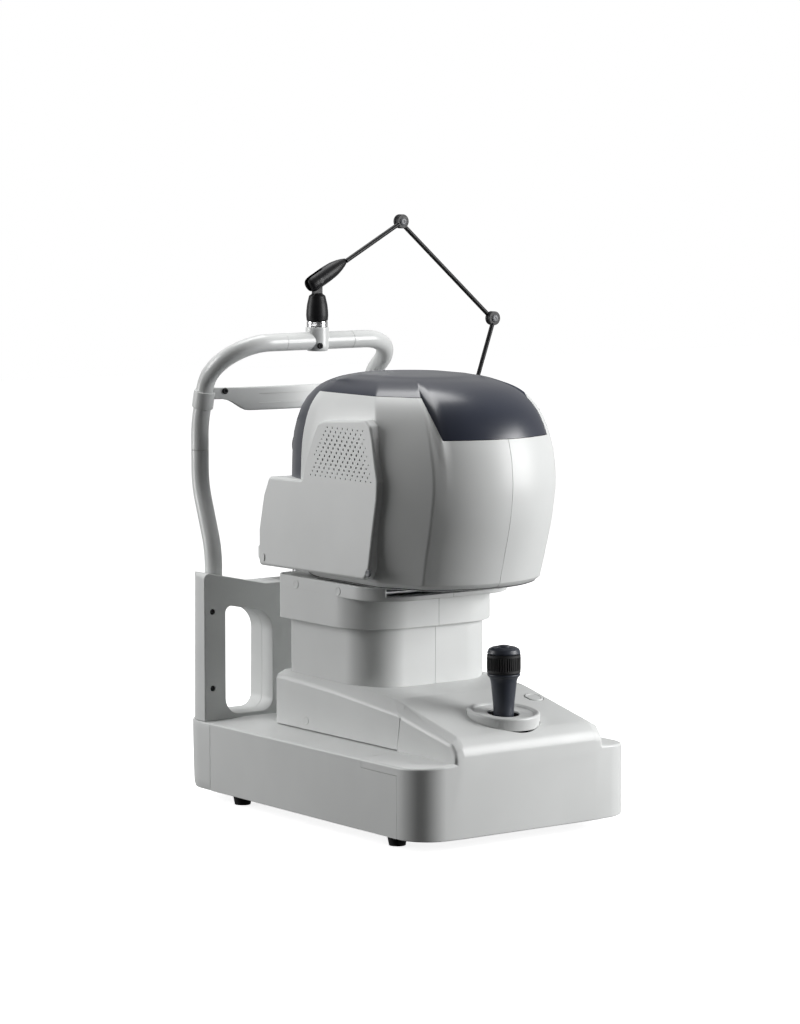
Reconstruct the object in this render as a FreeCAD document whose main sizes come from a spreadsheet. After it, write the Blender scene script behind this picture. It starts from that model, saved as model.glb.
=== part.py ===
"""A table-top eye scanner: base, lifting column, sliding head, head rest, joystick and lamp arm.

Millimetres. +Z is up, +Y points to the patient and +X to the examiner's right. The origin is
the centre of the four feet, on the table. Every size is a cell of the sheet "Sizes" or is
worked out from those cells, and each piece is one object whose Label is its node's name.
"""

import FreeCAD, Part
import math
import os

import Sketcher

doc = FreeCAD.newDocument("eye_scanner")
Vector = FreeCAD.Vector

# ---------------------------------------------------------------- the sheet of sizes

DRIVING = {
    "wall": (3.0, "thickness of the moulded covers"),
    "gap": (0.4, "clearance between covers, and between parts that move past each other"),
    "fit": (0.05, "radial clearance of a shaft in its bore"),
    "foot_height": (13.5, "rubber feet, and the underside of the base"),
    "foot_x": (115.0, "feet from the middle plane"),
    "foot_y": (139.0, "feet from the origin, front and rear"),
    "base_half": (140.0, "half of the base's width"),
    "base_front": (211.0, "front face"),
    "base_rear": (230.0, "rear face"),
    "tip_front": (207.0, "front corners, where the front face sweeps back"),
    "tip_round": (36.0, "rounds of the base's two front corners"),
    "rear_round": (47.0, "rounds of the base's two rear corners"),
    "deck": (87.0, "top of the base's side decks at their outer edge"),
    "deck_rise": (3.0, "how much the decks rise from there to the hump and column cover"),
    "front_seam": (171.0, "seam between front cover and side panels"),
    "shoulder_seam": (111.0, "step of that seam on the deck"),
    "rear_seam": (164.0, "seam between side panels and rear cover"),
    "hump_half": (95.0, "half width of the raised hump and of the column's cover"),
    "ridge": (84.0, "half width of their tops and of the flat front face, inside the bevels"),
    "hump_rear": (112.0, "seam between the hump and the column's cover"),
    "block_rear": (106.0, "rear of the column's cover"),
    "block_top": (147.0, "top of the column's cover"),
    "column_half": (85.0, "fixed column, half width"),
    "column_front": (51.0, "fixed column, front"),
    "column_rear": (98.0, "fixed column, rear"),
    "column_round": (45.0, "fixed column, front corner radius"),
    "column_top": (222.0, "fixed column, top, hidden in the collar"),
    "collar_half": (95.0, "lifting collar, half width"),
    "collar_front": (57.0, "lifting collar, front"),
    "collar_rear": (104.0, "lifting collar, rear"),
    "collar_round": (56.0, "lifting collar, front corner radius"),
    "collar_bottom": (205.0, "lower edge of the collar"),
    "tray_front": (88.0, "tray that carries the slides, front"),
    "tray_round": (40.0, "tray, front corner radius"),
    "tray_bottom": (232.0, "underside of the tray"),
    "tray_top": (252.0, "top edge of the tray's walls"),
    "stage_y": (23.0, "middle of the column and of the slides"),
    "cross_travel": (43.0, "sideways travel of the head, each way"),
    "reach_travel": (20.0, "travel of the head to and from the patient, each way"),
    "head_bottom": (253.0, "underside of the head"),
    "head_top": (465.0, "top of the head"),
    "head_half": (108.0, "head, half width"),
    "head_front": (180.0, "head, front"),
    "head_rear": (140.0, "head, rear"),
    "shell_half": (112.0, "head's side shells, outer face"),
    "axis_height": (378.5, "optical axis"),
    "barrel_radius": (22.0, "lens barrel"),
    "barrel_end": (178.5, "patient end of the lens barrel"),
    "frame_front": (174.0, "head-rest frame, examiner's face"),
    "frame_seam": (195.4, "head-rest frame, seam between its two covers"),
    "frame_rear": (217.0, "head-rest frame, patient's face"),
    "frame_round": (38.0, "rounds of the frame's two rear corners in plan"),
    "frame_half": (139.5, "head-rest frame, half width"),
    "post_inner": (112.0, "inner face of the frame's posts"),
    "tower_half": (51.0, "half width of the frame's middle tower"),
    "frame_top": (248.0, "top of the frame's posts"),
    "tower_top": (231.0, "top of the middle tower"),
    "window_bottom": (92.0, "sill of the hand openings"),
    "window_top": (205.0, "top of the hand openings"),
    "upright_x": (111.0, "head-rest tubes from the middle plane"),
    "tube_radius": (9.5, "head-rest tubes"),
    "band_z": (430.0, "middle of the forehead band"),
    "band_height": (26.0, "forehead band"),
    "band_bow": (351.0, "radius of the forehead band in plan"),
    "band_front": (194.0, "middle of the forehead band in plan"),
    "arch_y": (161.0, "front run of the arch, and the lamp arm's plane"),
    "arch_z": (492.0, "front run of the arch"),
    "stick_y": (166.0, "joystick's axis, towards the examiner"),
    "stick_pivot": (100.0, "joystick's gimbal"),
    "knuckle_z": (557.0, "lamp arm's tilt axis"),
}

sheet = doc.addObject("Spreadsheet::Sheet", "Sizes")
for row, (alias, (number, meaning)) in enumerate(DRIVING.items(), start=1):
    sheet.set(f"A{row}", alias)
    sheet.set(f"B{row}", str(number))
    sheet.setAlias(f"B{row}", alias)
    sheet.set(f"C{row}", meaning)
doc.recompute()


class Size:
    """A length from the sheet, or sums made of such lengths, with the formula behind it."""

    def __init__(self, number, formula):
        self.number = number
        self.formula = formula

    def _with(self, other, sign, work, turned=False):
        first, second = as_size(self), as_size(other)
        if turned:
            first, second = second, first
        formula = f"({first.formula} {sign} {second.formula})"
        return Size(work(first.number, second.number), formula)

    def __add__(self, other):
        return self._with(other, "+", lambda a, b: a + b)

    def __radd__(self, other):
        return self._with(other, "+", lambda a, b: a + b, turned=True)

    def __sub__(self, other):
        return self._with(other, "-", lambda a, b: a - b)

    def __rsub__(self, other):
        return self._with(other, "-", lambda a, b: a - b, turned=True)

    def __mul__(self, other):
        return self._with(other, "*", lambda a, b: a * b)

    def __rmul__(self, other):
        return self._with(other, "*", lambda a, b: a * b, turned=True)

    def __truediv__(self, other):
        return self._with(other, "/", lambda a, b: a / b)

    def __neg__(self):
        return Size(-self.number, f"(0 - {self.formula})")


def as_size(value):
    """A plain number counts as a Size whose formula is the number."""
    if isinstance(value, Size):
        return value
    return Size(float(value), repr(float(value)))


def number(value):
    return as_size(value).number


class Cells:
    """Each cell of the sheet as an attribute, such as at.deck."""

    def __init__(self):
        for alias in DRIVING:
            setattr(self, alias, Size(float(getattr(sheet, alias)), f"Sizes.{alias}"))


at = Cells()

# ---------------------------------------------------------------- ways to make a solid


def bind(item, path, value):
    """Ties one property to the sheet's cells, or sets it where it is a plain number."""
    item.setExpression(path, as_size(value).formula)


def place(item, x, y, z, axis=None, degrees=0.0):
    """Puts an object at a bound position, turned by a fixed angle about an axis."""
    turn = FreeCAD.Rotation(Vector(*axis), degrees) if axis else FreeCAD.Rotation()
    item.Placement = FreeCAD.Placement(Vector(0, 0, 0), turn)
    for letter, value in zip("xyz", (x, y, z)):
        bind(item, f"Placement.Base.{letter}", value)
    return item


def box(name, low, high):
    """A block between two opposite corners."""
    item = doc.addObject("Part::Box", name)
    for side, a, b in zip(("Length", "Width", "Height"), low, high):
        bind(item, side, b - a)
    return place(item, *low)


TURNS = {"X": ((0, 1, 0), 90.0), "Y": ((1, 0, 0), -90.0), "Z": (None, 0.0)}


def rod(name, radius, start, length, along="Z"):
    """A cylinder from its start point along an axis."""
    item = doc.addObject("Part::Cylinder", name)
    bind(item, "Radius", radius)
    bind(item, "Height", length)
    axis, degrees = TURNS[along]
    return place(item, *start, axis, degrees)


def origin_plane(body, role):
    return next(f for f in body.Origin.OriginFeatures if f.Role == role)


def outline(body, role, points, offset=0.0):
    """A closed run of straight lines on one of the body's own planes, each corner bound."""
    sketch = body.newObject("Sketcher::SketchObject", body.Name + "_outline")
    sketch.AttachmentSupport = [(origin_plane(body, role), "")]
    sketch.MapMode = "FlatFace"
    bind(sketch, "AttachmentOffset.Base.z", offset)
    count = len(points)
    corners = [Vector(number(u), number(v), 0) for u, v in points]
    for i in range(count):
        sketch.addGeometry(Part.LineSegment(corners[i], corners[(i + 1) % count]))
    for i in range(count):
        sketch.addConstraint(Sketcher.Constraint("Coincident", i, 2, (i + 1) % count, 1))
    for i, point in enumerate(points):
        for kind, value, axis in zip(("DistanceX", "DistanceY"), point, (-2, -1)):
            if number(value) == 0:
                sketch.addConstraint(Sketcher.Constraint("PointOnObject", i, 1, axis))
                continue
            index = sketch.addConstraint(Sketcher.Constraint(kind, -1, 1, i, 1, number(value)))
            bind(sketch, f"Constraints[{index}]", value)
    return sketch


# the plane's normal, and whether it runs against the axis that the prism is measured along
PLANES = {"XY": ("XY_Plane", False), "XZ": ("XZ_Plane", True), "YZ": ("YZ_Plane", False)}


def prism(name, plane, points, low, high, rounds=()):
    """A padded outline between two levels. rounds holds (radius, test of an edge's middle)."""
    role, against = PLANES[plane]
    body = doc.addObject("PartDesign::Body", name)
    sketch = outline(body, role, points, -high if against else low)
    pad = body.newObject("PartDesign::Pad", name + "_pad")
    pad.Profile = sketch
    bind(pad, "Length", high - low)
    sketch.Visibility = False
    last = pad
    for radius, test in rounds:
        doc.recompute()
        fillet = body.newObject("PartDesign::Fillet", name + "_round")
        edges = last.Shape.Edges
        wanted = [f"Edge{i}" for i, edge in enumerate(edges, start=1) if test(edge)]
        fillet.Base = (last, wanted)
        bind(fillet, "Radius", radius)
        last = fillet
    return body


def upright_edge(where):
    """A test for edges along Z whose middle (x, y) passes where."""

    def test(edge):
        along = edge.tangentAt(edge.FirstParameter)
        middle = edge.CenterOfMass
        return len(edge.Vertexes) == 2 and abs(along.z) > 0.999 and where(middle.x, middle.y)

    return test


def deep_edge(where):
    """A test for edges along Y whose middle (x, z) passes where."""

    def test(edge):
        along = edge.tangentAt(edge.FirstParameter)
        middle = edge.CenterOfMass
        return len(edge.Vertexes) == 2 and abs(along.y) > 0.999 and where(middle.x, middle.z)

    return test


def turned(name, points, x=0.0, y=0.0, z=0.0, axis=None, degrees=0.0):
    """A revolved outline of (radius, height) points, put in place."""
    body = doc.addObject("PartDesign::Body", name)
    sketch = outline(body, "XZ_Plane", points)
    turn = body.newObject("PartDesign::Revolution", name + "_turn")
    turn.Profile = sketch
    turn.ReferenceAxis = (sketch, ["V_Axis"])
    turn.Angle = 360.0
    sketch.Visibility = False
    return place(body, x, y, z, axis, degrees)


def join(name, *items):
    item = doc.addObject("Part::MultiFuse", name)
    item.Shapes = list(items)
    item.Refine = True
    return item


def cut(name, base, *tools):
    item = doc.addObject("Part::Cut", name)
    item.Base = base
    item.Tool = tools[0] if len(tools) == 1 else join(name + "_tools", *tools)
    return item


def overlap(name, *items):
    item = doc.addObject("Part::MultiCommon", name)
    item.Shapes = list(items)
    return item


def group(name, *items):
    item = doc.addObject("Part::Compound", name)
    item.Links = list(items)
    return item


def mirrored(name, source):
    """The same piece on the other side of the middle plane."""
    item = doc.addObject("Part::Mirroring", name)
    item.Source = source
    item.Normal = Vector(1, 0, 0)
    return item


def made(name, shape):
    """A piece from Part's own functions, for tubes in space and the lofted shells."""
    item = doc.addObject("Part::Feature", name)
    item.Shape = shape
    return item


NODES = []


def node(label, item):
    """Registers a finished piece under its node's name."""
    item.Label = label
    NODES.append(item)
    return item


def both_sides(points):
    """An outline given from the middle front round the right side, closed over the left."""
    return points + [(-x, y) for x, y in reversed(points) if number(x) != 0]


# ---------------------------------------------------------------- base


BEZEL_LEAN = 5.7
FACE_SLOPE = 4.0 / 56.0


def base_front_plan(inset, back):
    """The base's front in plan, with its corners swept back to blunt tips."""
    half = at.base_half - inset
    return both_sides(
        [
            (at.ridge - inset * 0.2, -(at.base_front - inset)),
            (half, -(at.tip_front - inset * 0.6)),
            (half, -back),
        ]
    )


def deck_profile(inset, bottom):
    """The base seen from the front: its decks rise slightly towards the middle."""
    top = at.deck - inset
    return both_sides(
        [(at.base_half, bottom), (at.base_half, top), (at.hump_half, top + at.deck_rise)]
    )


def ruled(name, sections):
    """A solid through flat outlines at several X stations, given as (x, [(y, z), ...])."""
    wires = []
    for x, points in sections:
        corners = [Vector(number(x), number(y), number(z)) for y, z in points]
        wires.append(Part.makePolygon(corners + corners[:1]))
    return made(name, Part.makeLoft(wires, True, True))


def stations(edge, ridge, side, top):
    """The same pair of outlines on the left and right, with the top's outline between them."""
    return [(-edge, side), (-ridge, top), (ridge, top), (edge, side)]


def hump(name, inset, floor):
    """The hump that carries the joystick: flush front, sloping top, bevels along its edges."""
    back = -(at.hump_rear + inset)
    sweep = (at.hump_half - at.ridge) * FACE_SLOPE
    front = -(at.base_front - inset)
    side = [
        (back, floor), (front + sweep, floor), (front + sweep, at.deck + 11.5 - inset),
        (front + sweep + 8, at.deck + 21.5 - inset), (back, at.deck + 40.5 - inset),
    ]
    top = [
        (back, floor), (front, floor), (front, at.deck + 16 - inset),
        (front + 11, at.deck + 27.5 - inset), (back, at.deck + 48.5 - inset),
    ]
    return ruled(name, stations(at.hump_half - inset, at.ridge - inset * 0.7, side, top))


def make_base():
    foot = at.foot_height
    inner = at.base_half - at.wall - 1
    pan_plan = both_sides(
        [(at.ridge - 2, -(at.base_front - 6)), (inner, -(at.tip_front - 6)), (inner, at.base_rear - 4)]
    )
    front_corner = upright_edge(lambda x, y: y < -180 and abs(x) > 130)
    rear_corner = upright_edge(lambda x, y: y > number(at.base_rear) - 20)
    pan_rounds = [(at.tip_round - at.wall - 1, front_corner), (at.rear_round - at.wall - 1, rear_corner)]
    node("base_pan", prism("pan", "XY", pan_plan, foot, foot + 4.5, pan_rounds))

    feet = []
    for side in (-1, 1):
        for end in (-1, 1):
            foot_cone = doc.addObject("Part::Cone", "foot")
            bind(foot_cone, "Radius1", 8.5)
            bind(foot_cone, "Radius2", 11.0)
            bind(foot_cone, "Height", foot)
            feet.append(place(foot_cone, side * at.foot_x, end * at.foot_y, 0.0))
    node("rubber_feet", group("feet", *feet))

    tips = upright_edge(lambda x, y: abs(x) > number(at.base_half) - 6 and y < -180)
    above = at.deck + 10

    def skirt(name, inset, bottom):
        plan = prism(
            name + "_plan", "XY", base_front_plan(inset, at.front_seam - inset / 3), bottom, above,
            [(at.tip_round - inset, tips)],
        )
        profile = prism(
            name + "_profile", "XZ", deck_profile(inset, bottom), -(at.base_front + 1), -(at.front_seam - 1)
        )
        return overlap(name, plan, profile)

    shoulders = []
    for side in (-1, 1):
        low_x, high_x = sorted((side * (at.hump_half - 3), side * at.base_half), key=number)
        shoulder = box(
            "shoulder", (low_x, -at.front_seam, at.deck - 9), (high_x, -at.shoulder_seam, above)
        )
        shoulders.append(shoulder)
    crown = prism(
        "shoulder_crown", "XZ", deck_profile(0.0, at.deck - 9), -at.front_seam, -at.shoulder_seam
    )
    under = prism(
        "shoulder_under", "XZ",
        both_sides([(at.base_half - at.wall, at.deck - 10), (at.base_half - at.wall, at.deck - at.wall),
                    (at.hump_half, at.deck + at.deck_rise - at.wall)]),
        -(at.front_seam + 1), -(at.shoulder_seam - 1),
    )
    lip = cut("shoulder_lip", overlap("shoulder_solid", join("shoulder_pair", *shoulders), crown), under)
    solid = join("front_skin", skirt("skirt", 0.0, foot), hump("hump_skin", 0.0, at.deck - 2), lip)
    node(
        "front_cover",
        cut(
            "front_moulding", solid, skirt("skirt_hollow", at.wall, foot - 1),
            hump("hump_hollow", at.wall, at.deck - 12),
            turned(
                "bezel_well", [(0, -40), (37.8, -40), (37.8, 30), (0, 30)],
                0.0, -at.stick_y, at.stick_pivot + 30.4, (1, 0, 0), BEZEL_LEAN,
            ),
            rod("button_well", 10.4, (70.0, -128.0, 100.0), 50.0),
        ),
    )

    inner_top = at.deck + at.deck_rise
    side_profile = [
        (-at.base_half, foot),
        (-(at.base_half - at.wall), foot),
        (-(at.base_half - at.wall), at.deck - at.wall),
        (-at.hump_half, inner_top - at.wall),
        (-72.0, inner_top - at.wall),
        (-72.0, inner_top),
        (-at.hump_half, inner_top),
        (-at.base_half, at.deck),
    ]
    arris = deep_edge(lambda x, z: x < -139 and z > 86)
    length = prism(
        "side_length", "XZ", side_profile, -(at.shoulder_seam - at.gap), at.rear_seam, [(2.5, arris)]
    )
    wing = box(
        "side_wing",
        (-at.base_half, -(at.front_seam - at.gap), foot),
        (-(at.base_half - at.wall), -(at.shoulder_seam - at.gap), at.deck - 9 - at.gap),
    )
    bridge = box(
        "side_bridge", (-73.0, at.block_rear - 8, inner_top - at.wall), (-0.2, at.rear_seam, inner_top)
    )
    left = join("side_moulding", length, wing, bridge)
    node("side_panel_left", left)
    node("side_panel_right", mirrored("side_moulding_right", left))

    rear_plan = both_sides([(at.base_half, at.rear_seam + at.gap), (at.base_half, at.base_rear)])
    rear_hollow_plan = both_sides(
        [(at.base_half - at.wall, at.rear_seam - 2), (at.base_half - at.wall, at.base_rear - at.wall)]
    )
    rear_skin = prism("rear_skin", "XY", rear_plan, foot, at.deck, [(at.rear_round, rear_corner)])
    rear_hollow = prism(
        "rear_hollow", "XY", rear_hollow_plan, foot - 1, at.deck - at.wall,
        [(at.rear_round - at.wall, rear_corner)],
    )
    post_holes = [
        box("post_hole", (low, 184.0, 60.0), (low + 7.2, 204.6, 100.0)) for low in (-123.1, 115.9)
    ]
    inlet_hole = box("inlet_hole", (30.0, 200.0, 34.0), (58.4, at.base_rear + 1, 58.4))
    switch_hole = box("switch_hole", (70.0, 200.0, 37.0), (92.0, at.base_rear + 1, 53.0))
    node(
        "rear_cover",
        cut("rear_moulding", rear_skin, rear_hollow, inlet_hole, switch_hole, *post_holes),
    )


# ---------------------------------------------------------------- fixed column


def tower_plan(half, front, rear):
    return [(-half, -front), (half, -front), (half, rear), (-half, rear)]


def tower(name, half, front, rear, low, high, front_round, rear_round):
    """A D-shaped block: big corner rounds at the front and small ones behind."""
    front_corner = upright_edge(lambda x, y: y < 0)
    rear_corner = upright_edge(lambda x, y: y > number(rear) - 1)
    return prism(
        name, "XY", tower_plan(half, front, rear), low, high,
        [(front_round, front_corner), (rear_round, rear_corner)],
    )


def block(name, inset):
    """The column's cover: nearly level round the column, falling to the hump in front."""
    floor = at.deck + at.deck_rise + (1.2 if inset == 0 else -5)
    front, rear = -(at.hump_rear - at.gap - inset), at.block_rear - inset

    def outline_of(seam_rise, levels):
        tops = [(front, at.deck + seam_rise - inset)]
        tops += [(y, at.block_top + z - inset) for y, z in levels]
        return [(rear, floor), (front, floor)] + tops

    side = outline_of(40.5, [(-56.0, -14.6), (6.0, -8.8), (rear, -4.2)])
    top = outline_of(48.5, [(-93.0, -7.0), (-30.0, -1.5), (rear, 1.0)])
    # both outlines need as many corners as each other, so the top's break lines answer the side's
    return ruled(name, stations(at.hump_half - inset, at.ridge - inset * 0.7, side, top))


def half_space(name, side):
    """Everything on one side of the middle plane, a hair clear of it."""
    reach = 160.0
    low_x, high_x = sorted((side * 0.1, side * reach))
    return box(name, (low_x, -260.0, 0.0), (high_x, 260.0, 520.0))


def make_column():
    clear = at.gap
    well = tower(
        "column_well", at.column_half + clear, at.column_front + clear, at.column_rear + clear,
        at.deck + 20, at.block_top + 12, at.column_round + clear, 12,
    )
    node("column_base_cover", cut("block_moulding", block("block_skin", 0.0), block("block_hollow", at.wall), well))

    skin = tower(
        "column_skin", at.column_half, at.column_front, at.column_rear,
        at.deck + 25, at.column_top, at.column_round, 12,
    )
    hollow = tower(
        "column_hollow", at.column_half - at.wall, at.column_front - at.wall, at.column_rear - at.wall,
        at.deck + 20, at.column_top + 5, at.column_round - at.wall, 9,
    )
    shell = cut("column_shell", skin, hollow)
    for side, word in ((-1, "left"), (1, "right")):
        node(f"column_cover_{word}", overlap(f"column_{word}", shell, half_space(f"half_{word}", side)))

    rods = [rod("guide_rod", 8.0, (x, at.stage_y, at.foot_height + 4.5), 203.0) for x in (-50.0, 50.0)]
    node("guide_rods", group("guides", *rods))
    actuator = cut(
        "actuator_body",
        rod("actuator_tube", 20.0, (0.0, at.stage_y, at.foot_height + 4.5), 108.0),
        rod("actuator_bore", 7.0 + at.fit, (0.0, at.stage_y, 40.0), 100.0),
    )
    node("lift_actuator", actuator)


def make_lift():
    """The carriage on the guide rods, and the collar, tray and platform that it raises."""
    y = at.stage_y
    plate = box("lift_plate", (-66.0, y - 26, 152.0), (66.0, y + 26, 178.0))
    webs = [
        box("lift_web", (low, y - 26, 178.0), (low + 8, y + 26, at.tray_bottom + 8))
        for low in (-66.0, 58.0)
    ]
    bores = [rod("guide_bore", 8.0 + at.fit, (x, y, 140.0), 50.0) for x in (-50.0, 50.0)]
    node("lift_carriage", cut("lift_casting", join("lift_solid", plate, *webs), *bores))
    node("actuator_rod", rod("jack_rod", 7.0, (0.0, y, 66.0), 86.0))

    floor = at.tray_bottom + 8
    inside = at.collar_half - at.wall - 0.5
    platform = box("stage_plate", (-inside, -40.0, floor), (inside, at.collar_rear - 8, floor + 3))
    rails = [
        box("cross_rail", (-88.0, y + offset, floor + 3), (88.0, y + offset + 8, floor + 5.4))
        for offset in (-48.0, 40.0)
    ]
    node("lift_platform", join("platform_casting", platform, *rails))

    collar = tower(
        "collar_skin", at.collar_half, at.collar_front, at.collar_rear,
        at.collar_bottom, at.tray_bottom, at.collar_round, 14,
    )
    collar_hollow = tower(
        "collar_hollow", at.collar_half - at.wall, at.collar_front - at.wall, at.collar_rear - at.wall,
        at.collar_bottom - 1, at.tray_bottom + 4, at.collar_round - at.wall, 11,
    )
    tray = tower(
        "tray_skin", at.collar_half + 1, at.tray_front, at.collar_rear + 0.5,
        at.tray_bottom, at.tray_top, at.tray_round, 14,
    )
    tray_hollow = tower(
        "tray_hollow", at.collar_half + 1 - at.wall, at.tray_front - at.wall, at.collar_rear - at.wall,
        at.tray_bottom + 3, at.tray_top + 1, at.tray_round - at.wall, 11,
    )
    slot = box("tray_slot", (-79.0, -120.0, at.tray_bottom + 9), (79.0, -76.0, at.tray_top + 1))
    shell = cut("collar_shell", join("collar_solid", collar, tray), collar_hollow, tray_hollow, slot)
    for side, word in ((-1, "left"), (1, "right")):
        node(f"collar_{word}", overlap(f"collar_half_{word}", shell, half_space(f"lift_half_{word}", side)))

    reach = at.cross_travel + 21
    deck_solid = tower(
        "deck_solid", at.collar_half - at.wall, at.tray_front - at.wall - 1, at.collar_rear - at.wall - 1,
        at.tray_top - 1.6, at.tray_top - 0.2, at.tray_round - at.wall, 10,
    )
    deck_slot = box("deck_slot", (-reach, y - 51, at.tray_top - 3), (reach, y + 51, at.tray_top + 1))
    node("slide_deck", cut("slide_plate", deck_solid, deck_slot))


def make_cross_stage():
    y = at.stage_y
    floor = at.tray_bottom + 13.8
    plate = box("cross_plate", (-44.0, y - 56, floor), (44.0, y + 56, floor + 3.6))
    neck = box("cross_neck", (-20.0, y - 49, floor), (20.0, y + 49, at.head_bottom + 5))
    rails = [
        box("reach_rail", (x, y - 49, at.head_bottom + 4), (x + 7, y + 49, at.head_bottom + 8))
        for x in (-18.0, 11.0)
    ]
    node("cross_carriage", join("cross_casting", plate, neck, *rails))


# ---------------------------------------------------------------- head

# Level, and there: front, crease and facet distances, half width and rear, as shares of the
# head's own front, half width and rear. The rows follow its barrel shape from foot to crown.
HEAD_ROWS = (
    (0.00, 0.870, 0.690, 0.440, 0.910, 0.840),
    (0.17, 0.930, 0.740, 0.480, 0.965, 0.930),
    (0.36, 0.983, 0.795, 0.505, 1.000, 0.985),
    (0.53, 1.000, 0.830, 0.515, 1.000, 1.000),
    (0.73, 0.956, 0.765, 0.490, 0.972, 0.970),
    (0.86, 0.872, 0.678, 0.445, 0.917, 0.860),
    (0.95, 0.750, 0.575, 0.360, 0.810, 0.690),
    (0.99, 0.600, 0.460, 0.270, 0.660, 0.530),
    (1.00, 0.480, 0.350, 0.190, 0.520, 0.410),
)


def head_wire(row, inset, low, high):
    """One level of the head in plan: bowed front, side facets, flat cheeks and a round rear."""
    share, front, crease, facet, half, rear = row
    z = low + (high - low) * share
    wide = number(at.head_half) * half - inset
    front_y = -number(at.head_front) * front + inset
    crease_y = -number(at.head_front) * crease + inset * 0.9
    crease_x = 0.70 * wide
    facet_y = -number(at.head_front) * facet
    rear_y = number(at.head_rear) * rear - inset
    start_y = 20.0 * rear
    corners = [
        Vector(-crease_x, crease_y, z), Vector(crease_x, crease_y, z), Vector(wide, facet_y, z),
        Vector(wide, start_y, z), Vector(-wide, start_y, z), Vector(-wide, facet_y, z),
    ]
    edges = [
        Part.Arc(corners[0], Vector(0, front_y, z), corners[1]).toShape(),
        Part.makeLine(corners[1], corners[2]),
        Part.makeLine(corners[2], corners[3]),
        Part.Arc(corners[3], Vector(0, rear_y, z), corners[4]).toShape(),
        Part.makeLine(corners[4], corners[5]),
        Part.makeLine(corners[5], corners[0]),
    ]
    return Part.Wire(edges)


def head_solid(name, inset):
    low = number(at.head_bottom) + inset
    high = number(at.head_top) - inset
    wires = [head_wire(row, inset, low, high) for row in HEAD_ROWS]
    return made(name, Part.makeLoft(wires, True, False))


def make_head():
    y = at.stage_y
    bench_floor = at.head_bottom + 8.4
    node("optical_bench", box("bench", (-58.0, -112.0, bench_floor), (58.0, 78.0, bench_floor + 8)))
    deck = bench_floor + 8
    cabinet = box("optics_cabinet", (-56.0, -108.0, deck), (56.0, 30.0, deck + 128))
    yoke = cut(
        "barrel_yoke",
        box("yoke_block", (-30.0, 30.0, deck), (30.0, 70.0, at.axis_height + 28)),
        rod("yoke_bore", at.barrel_radius, (0.0, 20.0, at.axis_height), 60.0, "Y"),
    )
    node("optics_housing", join("optics_casting", cabinet, yoke))
    barrel = cut(
        "barrel_tube",
        rod("barrel_skin", at.barrel_radius, (0.0, 30.0, at.axis_height), at.barrel_end - 30, "Y"),
        rod("barrel_bore", at.barrel_radius - 2.5, (0.0, 29.0, at.axis_height), 160.0, "Y"),
    )
    node("lens_barrel", barrel)
    node(
        "objective_lens",
        rod("lens_disc", at.barrel_radius - 2.5, (0.0, at.barrel_end - 10, at.axis_height), 6.0, "Y"),
    )

    skin = head_solid("head_skin", 0.0)
    hollow = head_solid("head_hollow", number(at.wall))
    travel = at.reach_travel + 2
    slide_hole = box("slide_hole", (-21.0, y - 49 - travel, 250.0), (21.0, y + 49 + travel, 258.0))
    barrel_hole = rod("barrel_hole", at.barrel_radius + 0.3, (0.0, 80.0, at.axis_height), 90.0, "Y")
    shell = cut("head_shell", skin, hollow, slide_hole, barrel_hole)

    # The dark cover takes the crown, drops over the front, and runs down the rear as a strap.
    roof = at.head_bottom + 187
    cap_profile = [
        (-200.0, 408.0), (-130.0, 408.0), (-112.0, roof), (200.0, roof), (200.0, 480.0), (-200.0, 480.0),
    ]
    cap_region = prism("cap_region", "YZ", cap_profile, -130.0, 130.0)
    strap_region = box("strap_region", (-46.0, 90.0, 300.0), (46.0, 200.0, 470.0))
    top_region = join("top_region", cap_region, strap_region)
    node("head_top_cover", overlap("top_moulding", shell, top_region))
    sides = cut("head_sides", shell, top_region)
    for side, word in ((-1, "left"), (1, "right")):
        node(f"head_cover_{word}", overlap(f"head_{word}", sides, half_space(f"head_half_{word}", side)))

    proud = at.shell_half
    keep_out = head_solid("head_keep_out", -0.15)
    case = box("shell_case", (-proud, -81.0, 258.0), (-66.0, 119.0, 356.0))
    case_hollow = box("shell_case_hollow", (-(proud - at.wall), -78.0, 261.0), (-60.0, 116.0, 353.0))
    lobe_plan = [(-78.0, 340.0), (58.0, 340.0), (36.0, 420.0), (-60.0, 420.0)]
    lobe = prism("shell_lobe", "YZ", lobe_plan, -proud, -101.0)
    left = cut(
        "shell_moulding", join("shell_solid", case, lobe), case_hollow, keep_out
    )
    node("side_shell_left", left)
    node("side_shell_right", mirrored("shell_moulding_right", left))


# ---------------------------------------------------------------- head rest


def frame_plan(inset):
    """The frame seen from the front: two posts, and a beam that falls to a flat middle tower."""
    half = at.frame_half - inset
    return both_sides(
        [
            (half, at.deck + 0.3 + inset),
            (half, at.frame_top - inset),
            (60.0 + inset * 0.1, at.tower_top - inset),
        ]
    )


def window(name, side, grow, low, high):
    inner = at.tower_half - grow
    outer = at.post_inner + grow
    points = [
        (side * inner, at.window_bottom - grow), (side * outer, at.window_bottom - grow),
        (side * outer, at.window_top + 6 + grow), (side * inner, at.window_top - 6 + grow),
    ]
    return prism(name, "XZ", points, low, high, [(20 + grow, deep_edge(lambda x, z: True))])


def footprint(name, inset):
    """The frame's outline in plan, with its two rear corners rounded right off."""
    half = at.frame_half - inset
    corners = both_sides([(half, at.frame_front - 20), (half, at.frame_rear - inset)])
    rear_corner = upright_edge(lambda x, y: y > number(at.frame_rear) - 10)
    return prism(name, "XY", corners, 60.0, at.frame_top + 20, [(at.frame_round - inset, rear_corner)])


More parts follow.
